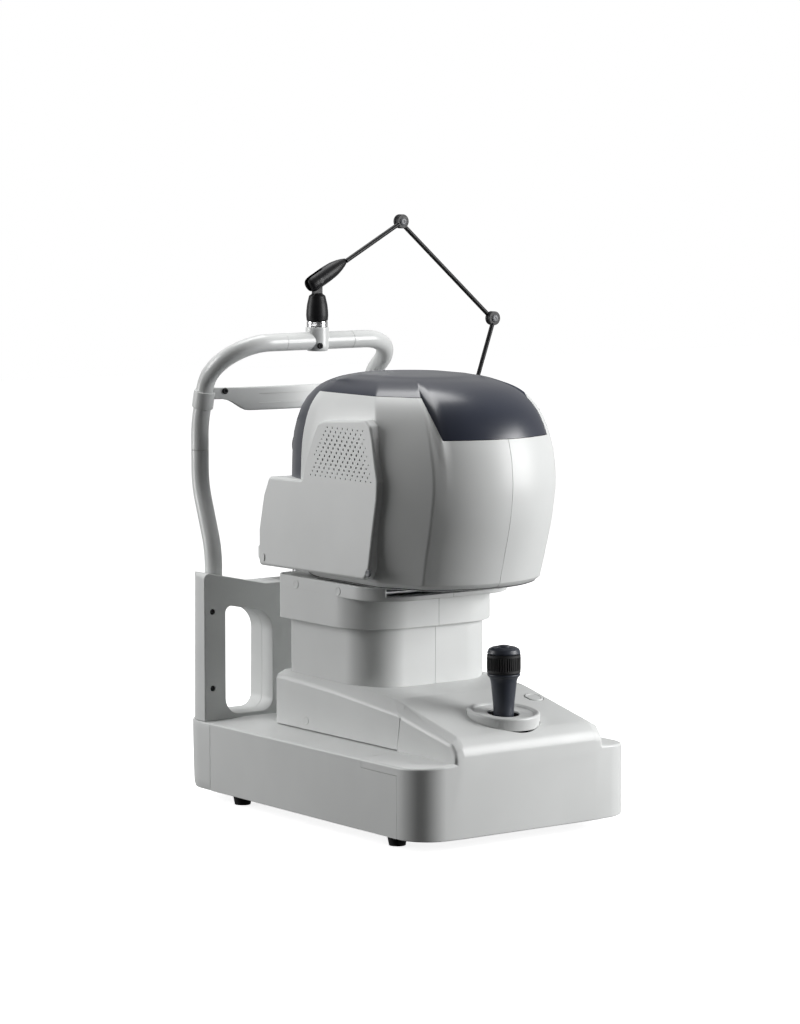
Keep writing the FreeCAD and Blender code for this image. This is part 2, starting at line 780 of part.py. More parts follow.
def frame_cover(name, low, high, cavity_low, cavity_high, holes):
    corners = deep_edge(lambda x, z: abs(x) > 130 and z > 200)
    face = prism(name + "_face", "XZ", frame_plan(0.0), low, high, [(8, corners)])
    solid = overlap(name + "_skin", face, footprint(name + "_plan", 0.0))
    space = prism(name + "_space", "XZ", frame_plan(at.wall), cavity_low, cavity_high, [(5, corners)])
    cavity = overlap(name + "_cavity", space, footprint(name + "_space_plan", at.wall))
    jambs = [window(name + "_jamb", side, at.wall, cavity_low - 2, cavity_high + 2) for side in (-1, 1)]
    openings = [window(name + "_window", side, 0.0, low - 2, high + 2) for side in (-1, 1)]
    return cut(name, solid, cut(name + "_hollow", cavity, *jambs), *openings, *holes)


def bent_tube(name, points, bends, radius, bore):
    """A tube along straight runs joined by tangent arcs, one bend radius per inner corner."""
    corners = [Vector(*(number(c) for c in point)) for point in points]
    edges, start = [], corners[0]
    for before, corner, after, bend in zip(corners, corners[1:], corners[2:], bends):
        back = (before - corner).normalize()
        onward = (after - corner).normalize()
        half_turn = (math.pi - back.getAngle(onward)) / 2
        reach = bend * math.tan(half_turn)
        enter, leave = corner + back * reach, corner + onward * reach
        inward = (back + onward).normalize()
        middle = corner + inward * (bend / math.cos(half_turn) - bend)
        edges.append(Part.makeLine(start, enter))
        edges.append(Part.Arc(enter, middle, leave).toShape())
        start = leave
    edges.append(Part.makeLine(start, corners[-1]))
    path = Part.Wire(edges)
    direction = corners[1] - corners[0]

    def swept(size):
        ring = Part.Wire(Part.makeCircle(size, corners[0], direction))
        return path.makePipeShell([ring], True, True)

    return made(name, swept(number(radius)).cut(swept(number(bore))))


def make_head_rest():
    holes = []
    for side in (-1, 1):
        holes.append(rod("tube_hole", at.tube_radius + 0.3, (side * at.upright_x, 199.0, 230.0), 30.0))
        low_x, high_x = sorted((side * 116.2, side * 122.8))
        holes.append(box("post_slot", (low_x, 184.3, at.deck - 2), (high_x, 204.3, at.deck + 6)))
    holes.append(rod("chin_hole", 11.2, (0.0, at.frame_seam, 220.0), 30.0))
    front = frame_cover(
        "frame_front", at.frame_front, at.frame_seam - 0.2, at.frame_front + at.wall, at.frame_seam + 4, holes
    )
    rear = frame_cover(
        "frame_back", at.frame_seam + 0.2, at.frame_rear, at.frame_seam - 4, at.frame_rear - at.wall, holes
    )
    node("frame_front_cover", front)
    node("frame_rear_cover", rear)

    posts = []
    for side in (-1, 1):
        low_x, high_x = sorted((side * 116.5, side * 122.5))
        post = box("steel_post", (low_x, 184.6, at.foot_height + 4.5), (high_x, 204.0, 236.0))
        socket = rod("socket_skin", 12.0, (side * at.upright_x, 199.0, 216.0), 20.0)
        bore = rod("socket_bore", at.tube_radius + at.fit, (side * at.upright_x, 199.0, 218.0), 30.0)
        posts.append(cut("post_weldment", join("post_solid", post, socket), bore))
    node("frame_posts", group("posts", *posts))

    seam_z, fitting_half = 375.0, 44.0
    tube, bore = at.tube_radius, at.tube_radius - 1.6
    tubes, bends = [], []
    for side in (-1, 1):
        x = side * at.upright_x
        route = [(x, 199.0, 218.2), (x, 199.0, 268.0), (x, 224.0, 338.0), (x, 224.0, seam_z)]
        tubes.append(bent_tube("upright_tube", route, (100, 100), tube, bore))
        route = [
            (x, 224.0, seam_z), (x, 224.0, 402.0), (x, 211.0, 452.0),
            (x, at.arch_y, at.arch_z), (side * fitting_half, at.arch_y, at.arch_z),
        ]
        bends.append(bent_tube("arch_tube", route, (90, 36, 48), tube, bore))
    node("upright_tubes", group("uprights", *tubes))
    node("arch_tubes", group("arch", *bends))
    fitting = join(
        "fitting_body",
        rod("fitting_tube", at.tube_radius, (-fitting_half, at.arch_y, at.arch_z), 2 * fitting_half, "X"),
        rod("fitting_boss", 12.6, (0.0, at.arch_y, at.arch_z - 11), 26.0),
    )
    node("arch_fitting", fitting)
    node("lamp_ring", rod("ring_disc", 11.3, (0.0, at.arch_y, at.arch_z + 15), 6.0))

    lean = math.degrees(math.atan2(13.0, 50.0))
    clamps, clamp_space = [], []
    for side in (-1, 1):
        spot = (side * at.upright_x, 220.6, 414.4)
        for radius, length, members in ((13.2, 24.5, clamps), (13.4, 36.0, clamp_space)):
            ring = rod("clamp_skin", radius, spot, length)
            members.append(place(ring, *spot, (1, 0, 0), lean))
        bore_cut = rod("clamp_bore", at.tube_radius + 0.02, spot, 60.0)
        place(bore_cut, spot[0], 225.6, 394.9, (1, 0, 0), lean)
        clamps[-1] = cut("clamp_ring", clamps[-1], bore_cut)
    node("band_clamps", group("clamps", *clamps))

    centre_y = at.band_front + at.band_bow
    low = at.band_z - at.band_height / 2

    def bowed(name, outer, inner, half_width, base_z, height):
        ring = cut(
            name + "_ring",
            rod(name + "_outer", outer, (0.0, centre_y, base_z), height),
            rod(name + "_inner", inner, (0.0, centre_y, base_z - 1), height + 2),
        )
        window_box = box(
            name + "_reach", (-half_width, 150.0, base_z - 2), (half_width, 260.0, base_z + height + 2)
        )
        return overlap(name + "_arc", ring, window_box)

    bow = at.band_bow
    band = bowed("band", bow + 2.5, bow - 2.5, 108.0, low, at.band_height)
    node("forehead_band", cut("band_moulding", band, *clamp_space))
    node("forehead_pad", bowed("pad", bow - 2.5, bow - 6.5, 62.0, low + 2, at.band_height - 4))

    bush = cut(
        "bush_body",
        join(
            "bush_solid",
            rod("bush_sleeve", 11.0, (0.0, at.frame_seam, at.tower_top - 24), 25.0),
            rod("bush_flange", 15.0, (0.0, at.frame_seam, at.tower_top), 3.0),
        ),
        rod("bush_bore", 8.0 + at.fit, (0.0, at.frame_seam, 190.0), 60.0),
    )
    node("chin_bush", bush)
    node("chin_motor", box("chin_drive", (-18.0, 182.0, 94.0), (18.0, 209.0, 128.0)))

    node("chin_post", rod("chin_shaft", 8.0, (0.0, at.frame_seam, 146.0), 104.0))
    rest = prism(
        "rest_block", "XY", [(-35.0, 182.0), (35.0, 182.0), (35.0, 234.0), (-35.0, 234.0)],
        250.0, 266.0, [(12, upright_edge(lambda x, y: True))],
    )
    hollow = doc.addObject("Part::Sphere", "rest_hollow")
    bind(hollow, "Radius", 62.0)
    place(hollow, 0.0, 212.0, 320.0)
    pins = [rod("paper_pin", 1.5, (x, 188.0, 262.0), 12.0) for x in (-27.0, 27.0)]
    node("chin_cup", join("rest_moulding", cut("rest_dish", rest, hollow), *pins))


# ---------------------------------------------------------------- electrics and controls


def make_electrics():
    floor = at.foot_height + 4.5
    node("power_supply", box("supply_case", (-125.0, 60.0, floor), (-75.0, 160.0, floor + 38)))
    node("main_board", box("logic_board", (75.0, -60.0, floor + 8), (132.0, 140.0, floor + 11)))
    shroud = box("inlet_shroud", (30.4, 210.0, 34.4), (58.0, at.base_rear - 0.2, 58.0))
    recess = box("inlet_recess", (33.0, 214.0, 37.0), (55.4, at.base_rear + 1, 55.4))
    pins = [
        box("inlet_pin", (x, 214.0, z), (x + 2, at.base_rear - 6, z + 4))
        for x, z in ((36.2, 42.0), (43.2, 47.0), (50.2, 42.0))
    ]
    node("power_inlet", join("inlet_body", cut("inlet_shell", shroud, recess), *pins))
    pin_radius = 1.2
    pin_play = 0.05
    rocker = join(
        "rocker",
        prism("rocker_body", "XY", [(-9.0, -3.0), (9.0, -3.0), (9.0, 3.5), (-9.0, 3.5)], 38.5, 51.5),
        rod("rocker_pin", pin_radius, (0.0, 0.0, 37.6), 14.8),
    )
    node("power_switch", place(rocker, 81.0, at.base_rear - 3, 0.0, (0, 0, 1), -6.0))
    housing = cut(
        "switch_body",
        box("switch_case", (70.3, 212.0, 37.3), (91.7, at.base_rear - 0.2, 52.7)),
        box("switch_well", (71.2, 216.0, 38.0), (90.8, at.base_rear + 1, 52.0)),
        rod("switch_pin_hole", pin_radius + pin_play, (81.0, at.base_rear - 3, 37.0), 16.0),
    )
    node("switch_housing", housing)


def make_joystick():
    y = -at.stick_y
    pivot = at.stick_pivot
    # the bezel's ring leans with the hump's slope; heights here are from its rim's middle
    bezel = [
        (17.0, -3.6), (31.0, -2.6), (31.0, -14.0), (37.5, -14.0), (37.5, -1.2),
        (36.3, 0.0), (33.6, -0.2), (31.6, -1.4), (17.0, -2.0),
    ]
    ring = turned("bezel_ring", bezel, 0.0, y, pivot + 30.4, (1, 0, 0), BEZEL_LEAN)
    node("joystick_bezel", ring)

    lugs = []
    for side in (-1, 1):
        low_x, high_x = sorted((side * 20.0, side * 25.0))
        lugs.append(box("yoke_lug", (low_x, y - 8, at.foot_height + 4.5), (high_x, y + 8, pivot + 8)))
    plinth = box("yoke_foot", (-25.0, y - 8, at.foot_height + 4.5), (25.0, y + 8, at.foot_height + 9.5))
    pin_bore = rod("yoke_pin_bore", 3.0 + at.fit, (-40.0, y, pivot), 80.0, "X")
    node("gimbal_yoke", cut("yoke_casting", join("yoke_solid", plinth, *lugs), pin_bore))

    ring = cut(
        "ring_band",
        rod("ring_skin", 17.5, (0.0, y, pivot - 5), 10.0),
        rod("ring_bore", 13.0, (0.0, y, pivot - 6), 12.0),
        rod("ring_pin_bore", 2.5 + at.fit, (0.0, y - 30, pivot), 60.0, "Y"),
    )
    ring_pins = [
        rod("ring_pin", 3.0, (side * 20.5 - 5.0, y, pivot), 10.0, "X") for side in (-1, 1)
    ]
    node("gimbal_ring", join("ring_casting", ring, *ring_pins))

    stem = [
        (0.0, pivot - 20), (5.0, pivot - 20), (5.0, pivot - 10), (9.0, pivot - 6), (9.0, pivot + 6),
        (10.5, pivot + 12), (10.5, pivot + 29), (13.35, pivot + 63), (17.0, pivot + 68.4),
        (12.0, pivot + 68.4), (12.0, pivot + 88.5), (0.0, pivot + 88.5),
    ]
    hub_pin = rod("stem_pin", 2.5, (0.0, y - 17, pivot), 34.0, "Y")
    node("joystick_stem", join("stem_body", turned("stem_turning", stem, 0.0, y), hub_pin))
    dial = [(12.0 + at.fit, 0.0), (17.4, 0.0), (17.4, 19.2), (12.0 + at.fit, 19.2)]
    node("height_dial", turned("dial_ring", dial, 0.0, y, pivot + 68.8))
    cap = [(6.7, 0.0), (17.0, 0.0), (17.0, 1.2), (14.4, 4.8), (9.2, 7.1), (6.7, 7.1)]
    node("joystick_cap", turned("cap_ring", cap, 0.0, y, pivot + 88.5))
    node("trigger_button", rod("trigger", 6.3, (0.0, y, pivot + 90.6), 6.4))

    node("start_button", rod("start_cap", 9.8, (70.0, -128.0, 120.0), 13.4))


# ---------------------------------------------------------------- lamp arm

ARM = {"clip_angle": 28.8, "elbow_1": (113.0, 62.0), "elbow_2": (241.0, -48.0), "lamp": (204.0, -152.0)}
FRONT_LEAF, REAR_LEAF = (157.0, 160.6), (161.4, 165.0)


def arm_point(name):
    """A pivot of the lamp arm, from the knuckle's place and the arm's own plane."""
    x, rise = ARM[name]
    return x, number(at.knuckle_z) + rise


def arm_rod(name, start, end, y, trims, radius=2.4):
    """A thin bar between two pivots in the arm's plane, trimmed at its two ends."""
    a, b = Vector(start[0], y, start[1]), Vector(end[0], y, end[1])
    along = (b - a).normalize()
    a, b = a + along * trims[0], b - along * trims[1]
    return made(name, Part.makeCylinder(radius, (b - a).Length, a, along))


def eye(name, centre, leaf, radius=7.75):
    return rod(name, radius, (centre[0], leaf[0], centre[1]), leaf[1] - leaf[0], "Y")


def make_lamp_arm():
    y, z = at.arch_y, at.knuckle_z
    elbow_1, elbow_2, lamp = (arm_point(n) for n in ("elbow_1", "elbow_2", "lamp"))
    knuckle = (0.0, number(z))

    socket = [
        (0.0, 0.0), (11.6, 0.0), (12.0, 8.0), (11.2, 18.0), (8.6, 29.0), (6.0, 29.6), (6.0, 40.0), (0.0, 40.0),
    ]
    lug = cut(
        "socket_lug_eye",
        join(
            "socket_lug_solid",
            box("socket_lug", (-5.5, y - 2.5, z - 17), (5.5, y + 2.5, z)),
            rod("socket_lug_round", 5.5, (0.0, y - 2.5, z), 5.0, "Y"),
        ),
        rod("socket_pin_bore", 2.5 + at.fit, (0.0, y - 5, z), 10.0, "Y"),
    )
    post = turned("socket_turning", socket, 0.0, y, at.arch_z + 21.4)
    trim = rod("socket_trim", 15.2, (0.0, y - 10, z), 20.0, "Y")
    node("lamp_socket", join("socket_body", cut("socket_post", post, trim), lug))

    bullet = [
        (0.0, -13.0), (7.0, -13.0), (8.8, -9.0), (8.8, 12.0), (8.2, 24.0), (5.6, 36.0), (2.6, 43.0), (0.0, 43.5),
    ]
    turn = 90.0 - ARM["clip_angle"]
    clip = turned("clip_turning", bullet, 0.0, y, z, (0, 1, 0), turn)
    pin = rod("knuckle_pin", 2.5, (0.0, y - 8.5, z), 17.0, "Y")
    node("lamp_clip", join("clip_body", cut("clip_fork", clip, fork_slot(turn)), pin))

    first, second = sum(FRONT_LEAF) / 2 - 0.2, sum(REAR_LEAF) / 2 + 0.2
    stud_1 = rod("stud_1", 2.0, (elbow_1[0], 158.0, elbow_1[1]), 8.6, "Y")
    link_1 = join(
        "link_1_body", arm_rod("bar_1", knuckle, elbow_1, first, (37.0, 6.0)),
        eye("eye_1", elbow_1, FRONT_LEAF), stud_1,
    )
    node("arm_link_1", link_1)
    bore = rod("eye_2_bore", 2.0 + at.fit, (elbow_1[0], 155.0, elbow_1[1]), 14.0, "Y")
    link_2 = join(
        "link_2_body",
        cut("eye_2", eye("eye_2_disc", elbow_1, REAR_LEAF), bore),
        arm_rod("bar_2", elbow_1, elbow_2, second, (6.0, 6.0)),
        eye("eye_3", elbow_2, REAR_LEAF),
        rod("stud_2", 2.0, (elbow_2[0], 156.4, elbow_2[1]), 7.0, "Y"),
    )
    node("arm_link_2", link_2)
    bore = rod("eye_4_bore", 2.0 + at.fit, (elbow_2[0], 155.0, elbow_2[1]), 14.0, "Y")
    link_3 = join(
        "link_3_body",
        cut("eye_4", eye("eye_4_disc", elbow_2, FRONT_LEAF), bore),
        arm_rod("bar_3", elbow_2, lamp, first, (6.0, 6.0)),
    )
    node("arm_link_3", link_3)
    node("fixation_lamp", rod("lamp_body", 8.5, (lamp[0], 150.0, lamp[1]), 24.0, "Y"))


def fork_slot(turn):
    """The slot in the clip's tail that the socket's lug swings in."""
    cheek_gap = 2.9
    slot = Part.makeBox(40, 2 * cheek_gap, 41, Vector(-20, -cheek_gap, -30))
    item = made("clip_slot", slot)
    item.Placement = FreeCAD.Placement(
        Vector(0, number(at.arch_y), number(at.knuckle_z)), FreeCAD.Rotation(Vector(0, 1, 0), turn)
    )
    return item


# ---------------------------------------------------------------- build, check and export


def check():
    """Stops the script if any object failed, or any piece is empty or not valid."""
    doc.recompute()
    for item in doc.Objects:
        if "Invalid" in item.State or "Error" in item.State:
            raise RuntimeError(f"{item.Name} is {item.State}")
    for item in NODES:
        shape = item.Shape
        if shape.isNull() or not shape.isValid() or not shape.Solids:
            raise RuntimeError(f"{item.Label} has no valid solid")
        print(f"{item.Label:22s} solids {len(shape.Solids):2d} volume {shape.Volume / 1000:9.2f} cm3")


def export():
    os.makedirs("parts", exist_ok=True)
    for item in NODES:
        item.Shape.exportStep(f"parts/{item.Label}.step")


make_base()
make_column()
make_lift()
make_cross_stage()
make_head()
make_head_rest()
make_electrics()
make_joystick()
make_lamp_arm()
check()
export()
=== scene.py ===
"""Looks of the table-top eye scanner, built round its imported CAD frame.

Lengths are written in millimetres and turned into metres where a mesh is made. +X is the
examiner's right, +Y the patient's side and +Z up, as in the frame.
"""

import math

import bmesh
import bpy
import numpy as np
from mathutils import Matrix, Vector


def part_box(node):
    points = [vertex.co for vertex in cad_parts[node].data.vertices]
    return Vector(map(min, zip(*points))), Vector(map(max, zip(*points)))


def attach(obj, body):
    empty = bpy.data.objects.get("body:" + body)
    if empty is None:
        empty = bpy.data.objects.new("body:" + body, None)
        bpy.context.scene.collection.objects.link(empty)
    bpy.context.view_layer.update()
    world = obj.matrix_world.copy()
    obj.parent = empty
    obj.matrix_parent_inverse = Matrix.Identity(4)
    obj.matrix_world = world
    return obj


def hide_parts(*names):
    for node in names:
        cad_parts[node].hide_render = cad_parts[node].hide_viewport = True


MM = 0.001
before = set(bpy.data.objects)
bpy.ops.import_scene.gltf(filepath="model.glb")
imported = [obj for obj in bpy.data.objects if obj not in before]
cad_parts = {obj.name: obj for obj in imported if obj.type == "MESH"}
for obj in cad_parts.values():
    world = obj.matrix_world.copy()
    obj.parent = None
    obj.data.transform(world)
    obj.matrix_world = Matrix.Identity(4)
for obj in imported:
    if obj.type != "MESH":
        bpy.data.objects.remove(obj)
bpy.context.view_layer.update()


# ---------------------------------------------------------------- frame sizes


def span(node):
    """A node's lowest and highest corners, in millimetres."""
    low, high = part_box(node)
    return Vector(low) / MM, Vector(high) / MM


FOOT = span("base_pan")[0].z
DECK = 87.0
DECK_RISE = 3.0
BASE_HALF = span("rear_cover")[1].x
BASE_FRONT = span("front_cover")[0].y
BASE_REAR = span("rear_cover")[1].y
TIP_FRONT = -207.0
TIP_ROUND = 36.0
REAR_ROUND = 47.0
REAR_DRAW_IN = 4.0
FLOOR_LIP = 9.0
FRONT_SEAM = -171.2
SHOULDER_SEAM = -111.2
REAR_SEAM = 164.2
HUMP_HALF = span("column_base_cover")[1].x
RIDGE = 84.0
SWEEP = (HUMP_HALF - RIDGE) * (TIP_FRONT - BASE_FRONT) / (BASE_HALF - RIDGE)
HUMP_REAR = -111.9
BLOCK_REAR = span("column_base_cover")[1].y
WALL = 3.0
STICK_Y = -166.0
STICK_PIVOT = 100.0
BEZEL_SPOT = (0, STICK_Y, 130.4)
BEZEL_AXIS = Matrix.Rotation(math.radians(5.7), 3, "X") @ Vector((0, 0, 1))
FRAME_FRONT, FRAME_SEAM, FRAME_REAR = 174.0, 195.4, 217.0
FRAME_HALF = 139.5
FRAME_LEAN = 3.0
ARCH_Y = 161.0
ARCH_Z = 492.0
TUBE_RADIUS = 9.5
UPRIGHT_X = 111.0
KNUCKLE_Z = 557.0
ARCH_SPOT = (0, ARCH_Y, ARCH_Z)
KNUCKLE_SPOT = (0, ARCH_Y, KNUCKLE_Z)
SOCKET_FOOT = ARCH_Z + 21.4
LENS_AXIS = (0, 0, 378.5)
CHIN_AXIS = (0, FRAME_SEAM, 0)


# ---------------------------------------------------------------- mesh tools


def placed(name, data):
    """A new object in the scene, round a mesh, a light or a camera."""
    item = bpy.data.objects.new(name, data)
    bpy.context.collection.objects.link(item)
    return item


def finished(name, work):
    """A new object from a mesh under construction, which is freed."""
    mesh = bpy.data.meshes.new(name)
    work.to_mesh(mesh)
    work.free()
    return placed(name, mesh)


def piece_from(name, points, faces):
    """A mesh object from points in millimetres, every face smooth."""
    mesh = bpy.data.meshes.new(name)
    mesh.from_pydata([Vector(p) * MM for p in points], [], faces)
    mesh.validate()
    mesh.polygons.foreach_set("use_smooth", [True] * len(mesh.polygons))
    return placed(name, mesh)


def tidy_normals(item):
    """Welds doubles and turns every face outwards."""
    work = bmesh.new()
    work.from_mesh(item.data)
    bmesh.ops.remove_doubles(work, verts=work.verts, dist=1e-6)
    bmesh.ops.recalc_face_normals(work, faces=work.faces)
    for face in work.faces:
        face.smooth = True
    work.to_mesh(item.data)
    work.free()
    return item


def rounded(corners, steps=7):
    """A closed outline from (x, y, radius) corners, each radius drawn as an arc."""
    path = []
    count = len(corners)
    for i, (x, y, radius) in enumerate(corners):
        here = Vector((x, y))
        if radius <= 0:
            path.append(here)
            continue
        back = (Vector(corners[i - 1][:2]) - here).normalized()
        onward = (Vector(corners[(i + 1) % count][:2]) - here).normalized()
        half = back.angle(onward) / 2
        centre = here + (back + onward).normalized() * (radius / math.sin(half))
        start = here + back * (radius / math.tan(half)) - centre
        stop = here + onward * (radius / math.tan(half)) - centre
        first = math.atan2(start.y, start.x)
        turn = math.remainder(math.atan2(stop.y, stop.x) - first, math.tau)
        for step in range(steps + 1):
            angle = first + turn * step / steps
            path.append(centre + Vector((math.cos(angle), math.sin(angle))) * radius)
    return path


PLANES = {
    "XY": lambda u, v, w: (u, v, w),
    "XZ": lambda u, v, w: (u, w, v),
    "YZ": lambda u, v, w: (w, u, v),
}


def loft(name, rings, ends=(True, True)):
    """Quads between rings of equally many points, with flat ends where asked."""
    width = len(rings[0])
    points = [p for ring in rings for p in ring]
    faces = []
    for row in range(len(rings) - 1):
        for i in range(width):
            j = (i + 1) % width
            a, b = row * width, (row + 1) * width
            faces.append((a + i, a + j, b + j, b + i))
    if ends[0]:
        faces.append(tuple(range(width))[::-1])
    if ends[1]:
        faces.append(tuple(range((len(rings) - 1) * width, len(rings) * width)))
    item = piece_from(name, points, faces)
    if all(ends):
        tidy_normals(item)
    return item


def prism(name, outline, plane, low, high):
    """A closed outline drawn out between two levels."""
    to_space = PLANES[plane]
    return loft(name, [[to_space(u, v, w) for u, v in outline] for w in (low, high)])


def lathe(name, profile, origin=(0, 0, 0), axis=(0, 0, 1), steps=48):
    """A surface turned from (radius, height) points about an axis.

    Its ends are closed, except where the profile itself comes back to its first point.
    """
    turn = Vector((0, 0, 1)).rotation_difference(Vector(axis).normalized()).to_matrix()
    rings = []
    looped = tuple(profile[0]) == tuple(profile[-1])
    for radius, height in profile:
        ring = []
        for i in range(steps):
            angle = math.tau * i / steps
            reach = max(radius, 0.01)
            spot = Vector((reach * math.cos(angle), reach * math.sin(angle), height))
            ring.append(Vector(origin) + turn @ spot)
        rings.append(ring)
    return tidy_normals(loft(name, rings, (not looped, not looped)))


def soften(profile, radius, steps=3):
    """A (radius, height) profile with its inner corners rounded."""
    last = len(profile) - 1
    path = [Vector(profile[0])]
    for i in range(1, last):
        here = Vector(profile[i])
        back, onward = Vector(profile[i - 1]) - here, Vector(profile[i + 1]) - here
        reach = min(radius, back.length * 0.45, onward.length * 0.45)
        a, b = here + back.normalized() * reach, here + onward.normalized() * reach
        for step in range(steps + 1):
            k = step / steps
            path.append(a.lerp(here, k).lerp(here.lerp(b, k), k))
    path.append(Vector(profile[last]))
    return path


def turned(name, profile, soft, *place, **steps):
    """A lathe piece whose profile has its corners softened."""
    return lathe(name, soften(profile, soft), *place, **steps)


def screw_head(name, rim, side, dome, floor, soft, spot, axis, steps=20):
    """A domed screw head with a round socket; dome holds the last two points of its top."""
    socket = dome[1][0] - 0.1
    profile = [(0, 0), (rim, 0), (rim, side), *dome, (socket, floor), (0, floor)]
    return turned(name, profile, soft, spot, axis, steps)


def sweep(name, path, radius, steps):
    """A round tube along a path, its ring carried along without twist."""
    path = [Vector(p) for p in path]
    rings = []
    side = None
    for i, here in enumerate(path):
        ahead = (path[min(i + 1, len(path) - 1)] - path[max(i - 1, 0)]).normalized()
        if side is None:
            side = ahead.orthogonal().normalized()
        side = (side - ahead * side.dot(ahead)).normalized()
        other = ahead.cross(side)
        ring = []
        for k in range(steps):
            angle = math.tau * k / steps
            ring.append(here + (side * math.cos(angle) + other * math.sin(angle)) * radius)
        rings.append(ring)
    return loft(name, rings)


def bent(corners, steps=12):
    """Points along straight runs joined by tangent arcs; corners are (x, y, z, bend radius)."""
    path = [Vector(corners[0][:3])]
    for i in range(1, len(corners) - 1):
        here = Vector(corners[i][:3])
        radius = corners[i][3]
        back = (Vector(corners[i - 1][:3]) - here).normalized()
        onward = (Vector(corners[i + 1][:3]) - here).normalized()
        half = back.angle(onward) / 2
        reach = radius / math.tan(half)
        centre = here + (back + onward).normalized() * (radius / math.sin(half))
        start, stop = here + back * reach - centre, here + onward * reach - centre
        for step in range(steps + 1):
            path.append(centre + start.normalized().slerp(stop.normalized(), step / steps) * radius)
    path.append(Vector(corners[-1][:3]))
    return path


def bake(item):
    """Puts an object's modifiers into its mesh."""
    graph = bpy.context.evaluated_depsgraph_get()
    mesh = bpy.data.meshes.new_from_object(item.evaluated_get(graph))
    item.modifiers.clear()
    item.data = mesh
    return item


def combine(item, tools, operation):
    """Applies other meshes to one, and removes them."""
    for tool in tools:
        step = item.modifiers.new(operation.lower(), "BOOLEAN")
        step.operation = operation
        step.solver = "EXACT"
        step.object = tool
    bake(item)
    for tool in tools:
        bpy.data.objects.remove(tool)
    return item


def carve(item, *tools):
    """One mesh less the others."""
    return combine(item, tools, "DIFFERENCE")


def merge(item, *tools):
    """One mesh and the others as a single skin."""
    return combine(item, tools, "UNION")


def joined(name, items):
    """Several meshes as one object, each kept whole."""
    work = bmesh.new()
    for item in items:
        work.from_mesh(item.data)
        bpy.data.objects.remove(item)
    return finished(name, work)


def flipped(item, name):
    """The same mesh on the other side of the middle plane."""
    work = bmesh.new()
    work.from_mesh(item.data)
    for vert in work.verts:
        vert.co.x = -vert.co.x
    bmesh.ops.reverse_faces(work, faces=work.faces)
    return shade(finished(name, work))


def thicken(item):
    """Gives an open skin its wall, inwards."""
    step = item.modifiers.new("wall", "SOLIDIFY")
    step.thickness = WALL * MM
    step.offset = -1.0
    step.use_even_offset = True
    return item


def shade(item, angle=32):
    """Smooth faces, with a hard edge wherever the surface turns by more than an angle."""
    for face in item.data.polygons:
        face.use_smooth = True
    item.data.set_sharp_from_angle(angle=math.radians(angle))
    if "shading" not in item.modifiers:
        step = item.modifiers.new("shading", "WEIGHTED_NORMAL")
        step.keep_sharp = True
    return item


def trim_edges(item, radius, angle=50, segments=2):
    """A small equal rounding on every edge sharper than an angle, as a modifier."""
    step = item.modifiers.new("trim", "BEVEL")
    step.width = radius * MM
    step.segments = segments
    step.limit_method = "ANGLE"
    step.angle_limit = math.radians(angle)
    return item


def round_edges(item, radius_of, segments=6):
    """Rounds each edge by the radius, in millimetres, that radius_of(middle, direction) gives it."""
    work = bmesh.new()
    work.from_mesh(item.data)
    weights = work.edges.layers.float.new("bevel_weight_edge")
    widths = {}
    for edge in work.edges:
        if len(edge.link_faces) != 2:
            continue
        turn = edge.calc_face_angle(0.0)
        if turn < math.radians(8):
            continue
        ends = [v.co / MM for v in edge.verts]
        radius = radius_of((ends[0] + ends[1]) / 2, (ends[1] - ends[0]).normalized())
        if radius:
            widths[edge] = radius * math.tan(turn / 2)
    widest = max(widths.values())
    for edge, width in widths.items():
        edge[weights] = width / widest
    work.to_mesh(item.data)
    work.free()
    step = item.modifiers.new("corners", "BEVEL")
    step.width = widest * MM
    step.segments = segments
    step.limit_method = "WEIGHT"
    return bake(item)


def hull(name, points, radius_of=None, segments=6):
    """The convex solid round some points in millimetres, with rounded edges where asked."""
    work = bmesh.new()
    for spot in points:
        work.verts.new(Vector(spot) * MM)
    bmesh.ops.convex_hull(work, input=work.verts)
    bmesh.ops.delete(work, geom=[v for v in work.verts if not v.link_faces], context="VERTS")
    bmesh.ops.dissolve_limit(
        work, angle_limit=math.radians(0.4), verts=work.verts, edges=work.edges
    )
    item = finished(name, work)
    return round_edges(item, radius_of, segments) if radius_of else item


def block(name, low, high):
    """A plain block, used only to cut with or as part of a larger piece."""
    xs, ys, zs = zip(low, high)
    return hull(name, [(x, y, z) for x in xs for y in ys for z in zs])


def inset(outline, amount):
    """A closed outline moved inwards by an amount."""
    count = len(outline)
    area = sum(
        outline[i - 1][0] * outline[i][1] - outline[i][0] * outline[i - 1][1] for i in range(count)
    )
    turn = 1 if area > 0 else -1
    moved = []
    for i in range(count):
        here = Vector(outline[i])
        back = (here - Vector(outline[i - 1])).normalized()
        onward = (Vector(outline[(i + 1) % count]) - here).normalized()
        along = back + onward
        if along.length < 1e-6:
            moved.append(here)
            continue
        along.normalize()
        share = max(abs(along.dot(back)), 0.5)
        moved.append(here + Vector((-along.y, along.x)) * (turn * amount / share))
    return moved


def slab(name, outline, plane, low, high, low_round=0.0, high_round=0.0, steps=4):
    """A prism whose two rims are rounded by insetting its outline."""
    to_space = PLANES[plane]

    def rim(end, radius, inward):
        if not radius:
            return [(end, 0.0)]
        turns = [math.pi / 2 * step / steps for step in range(steps + 1)]
        return [
            (end + inward * radius * (1 - math.sin(a)), radius * (1 - math.cos(a))) for a in turns
        ]

    levels = rim(low, low_round, 1)[::-1] + rim(high, high_round, -1)
    rings = []
    for w, amount in levels:
        rings.append([to_space(u, v, w) for u, v in (inset(outline, amount) if amount else outline)])
    return loft(name, rings)


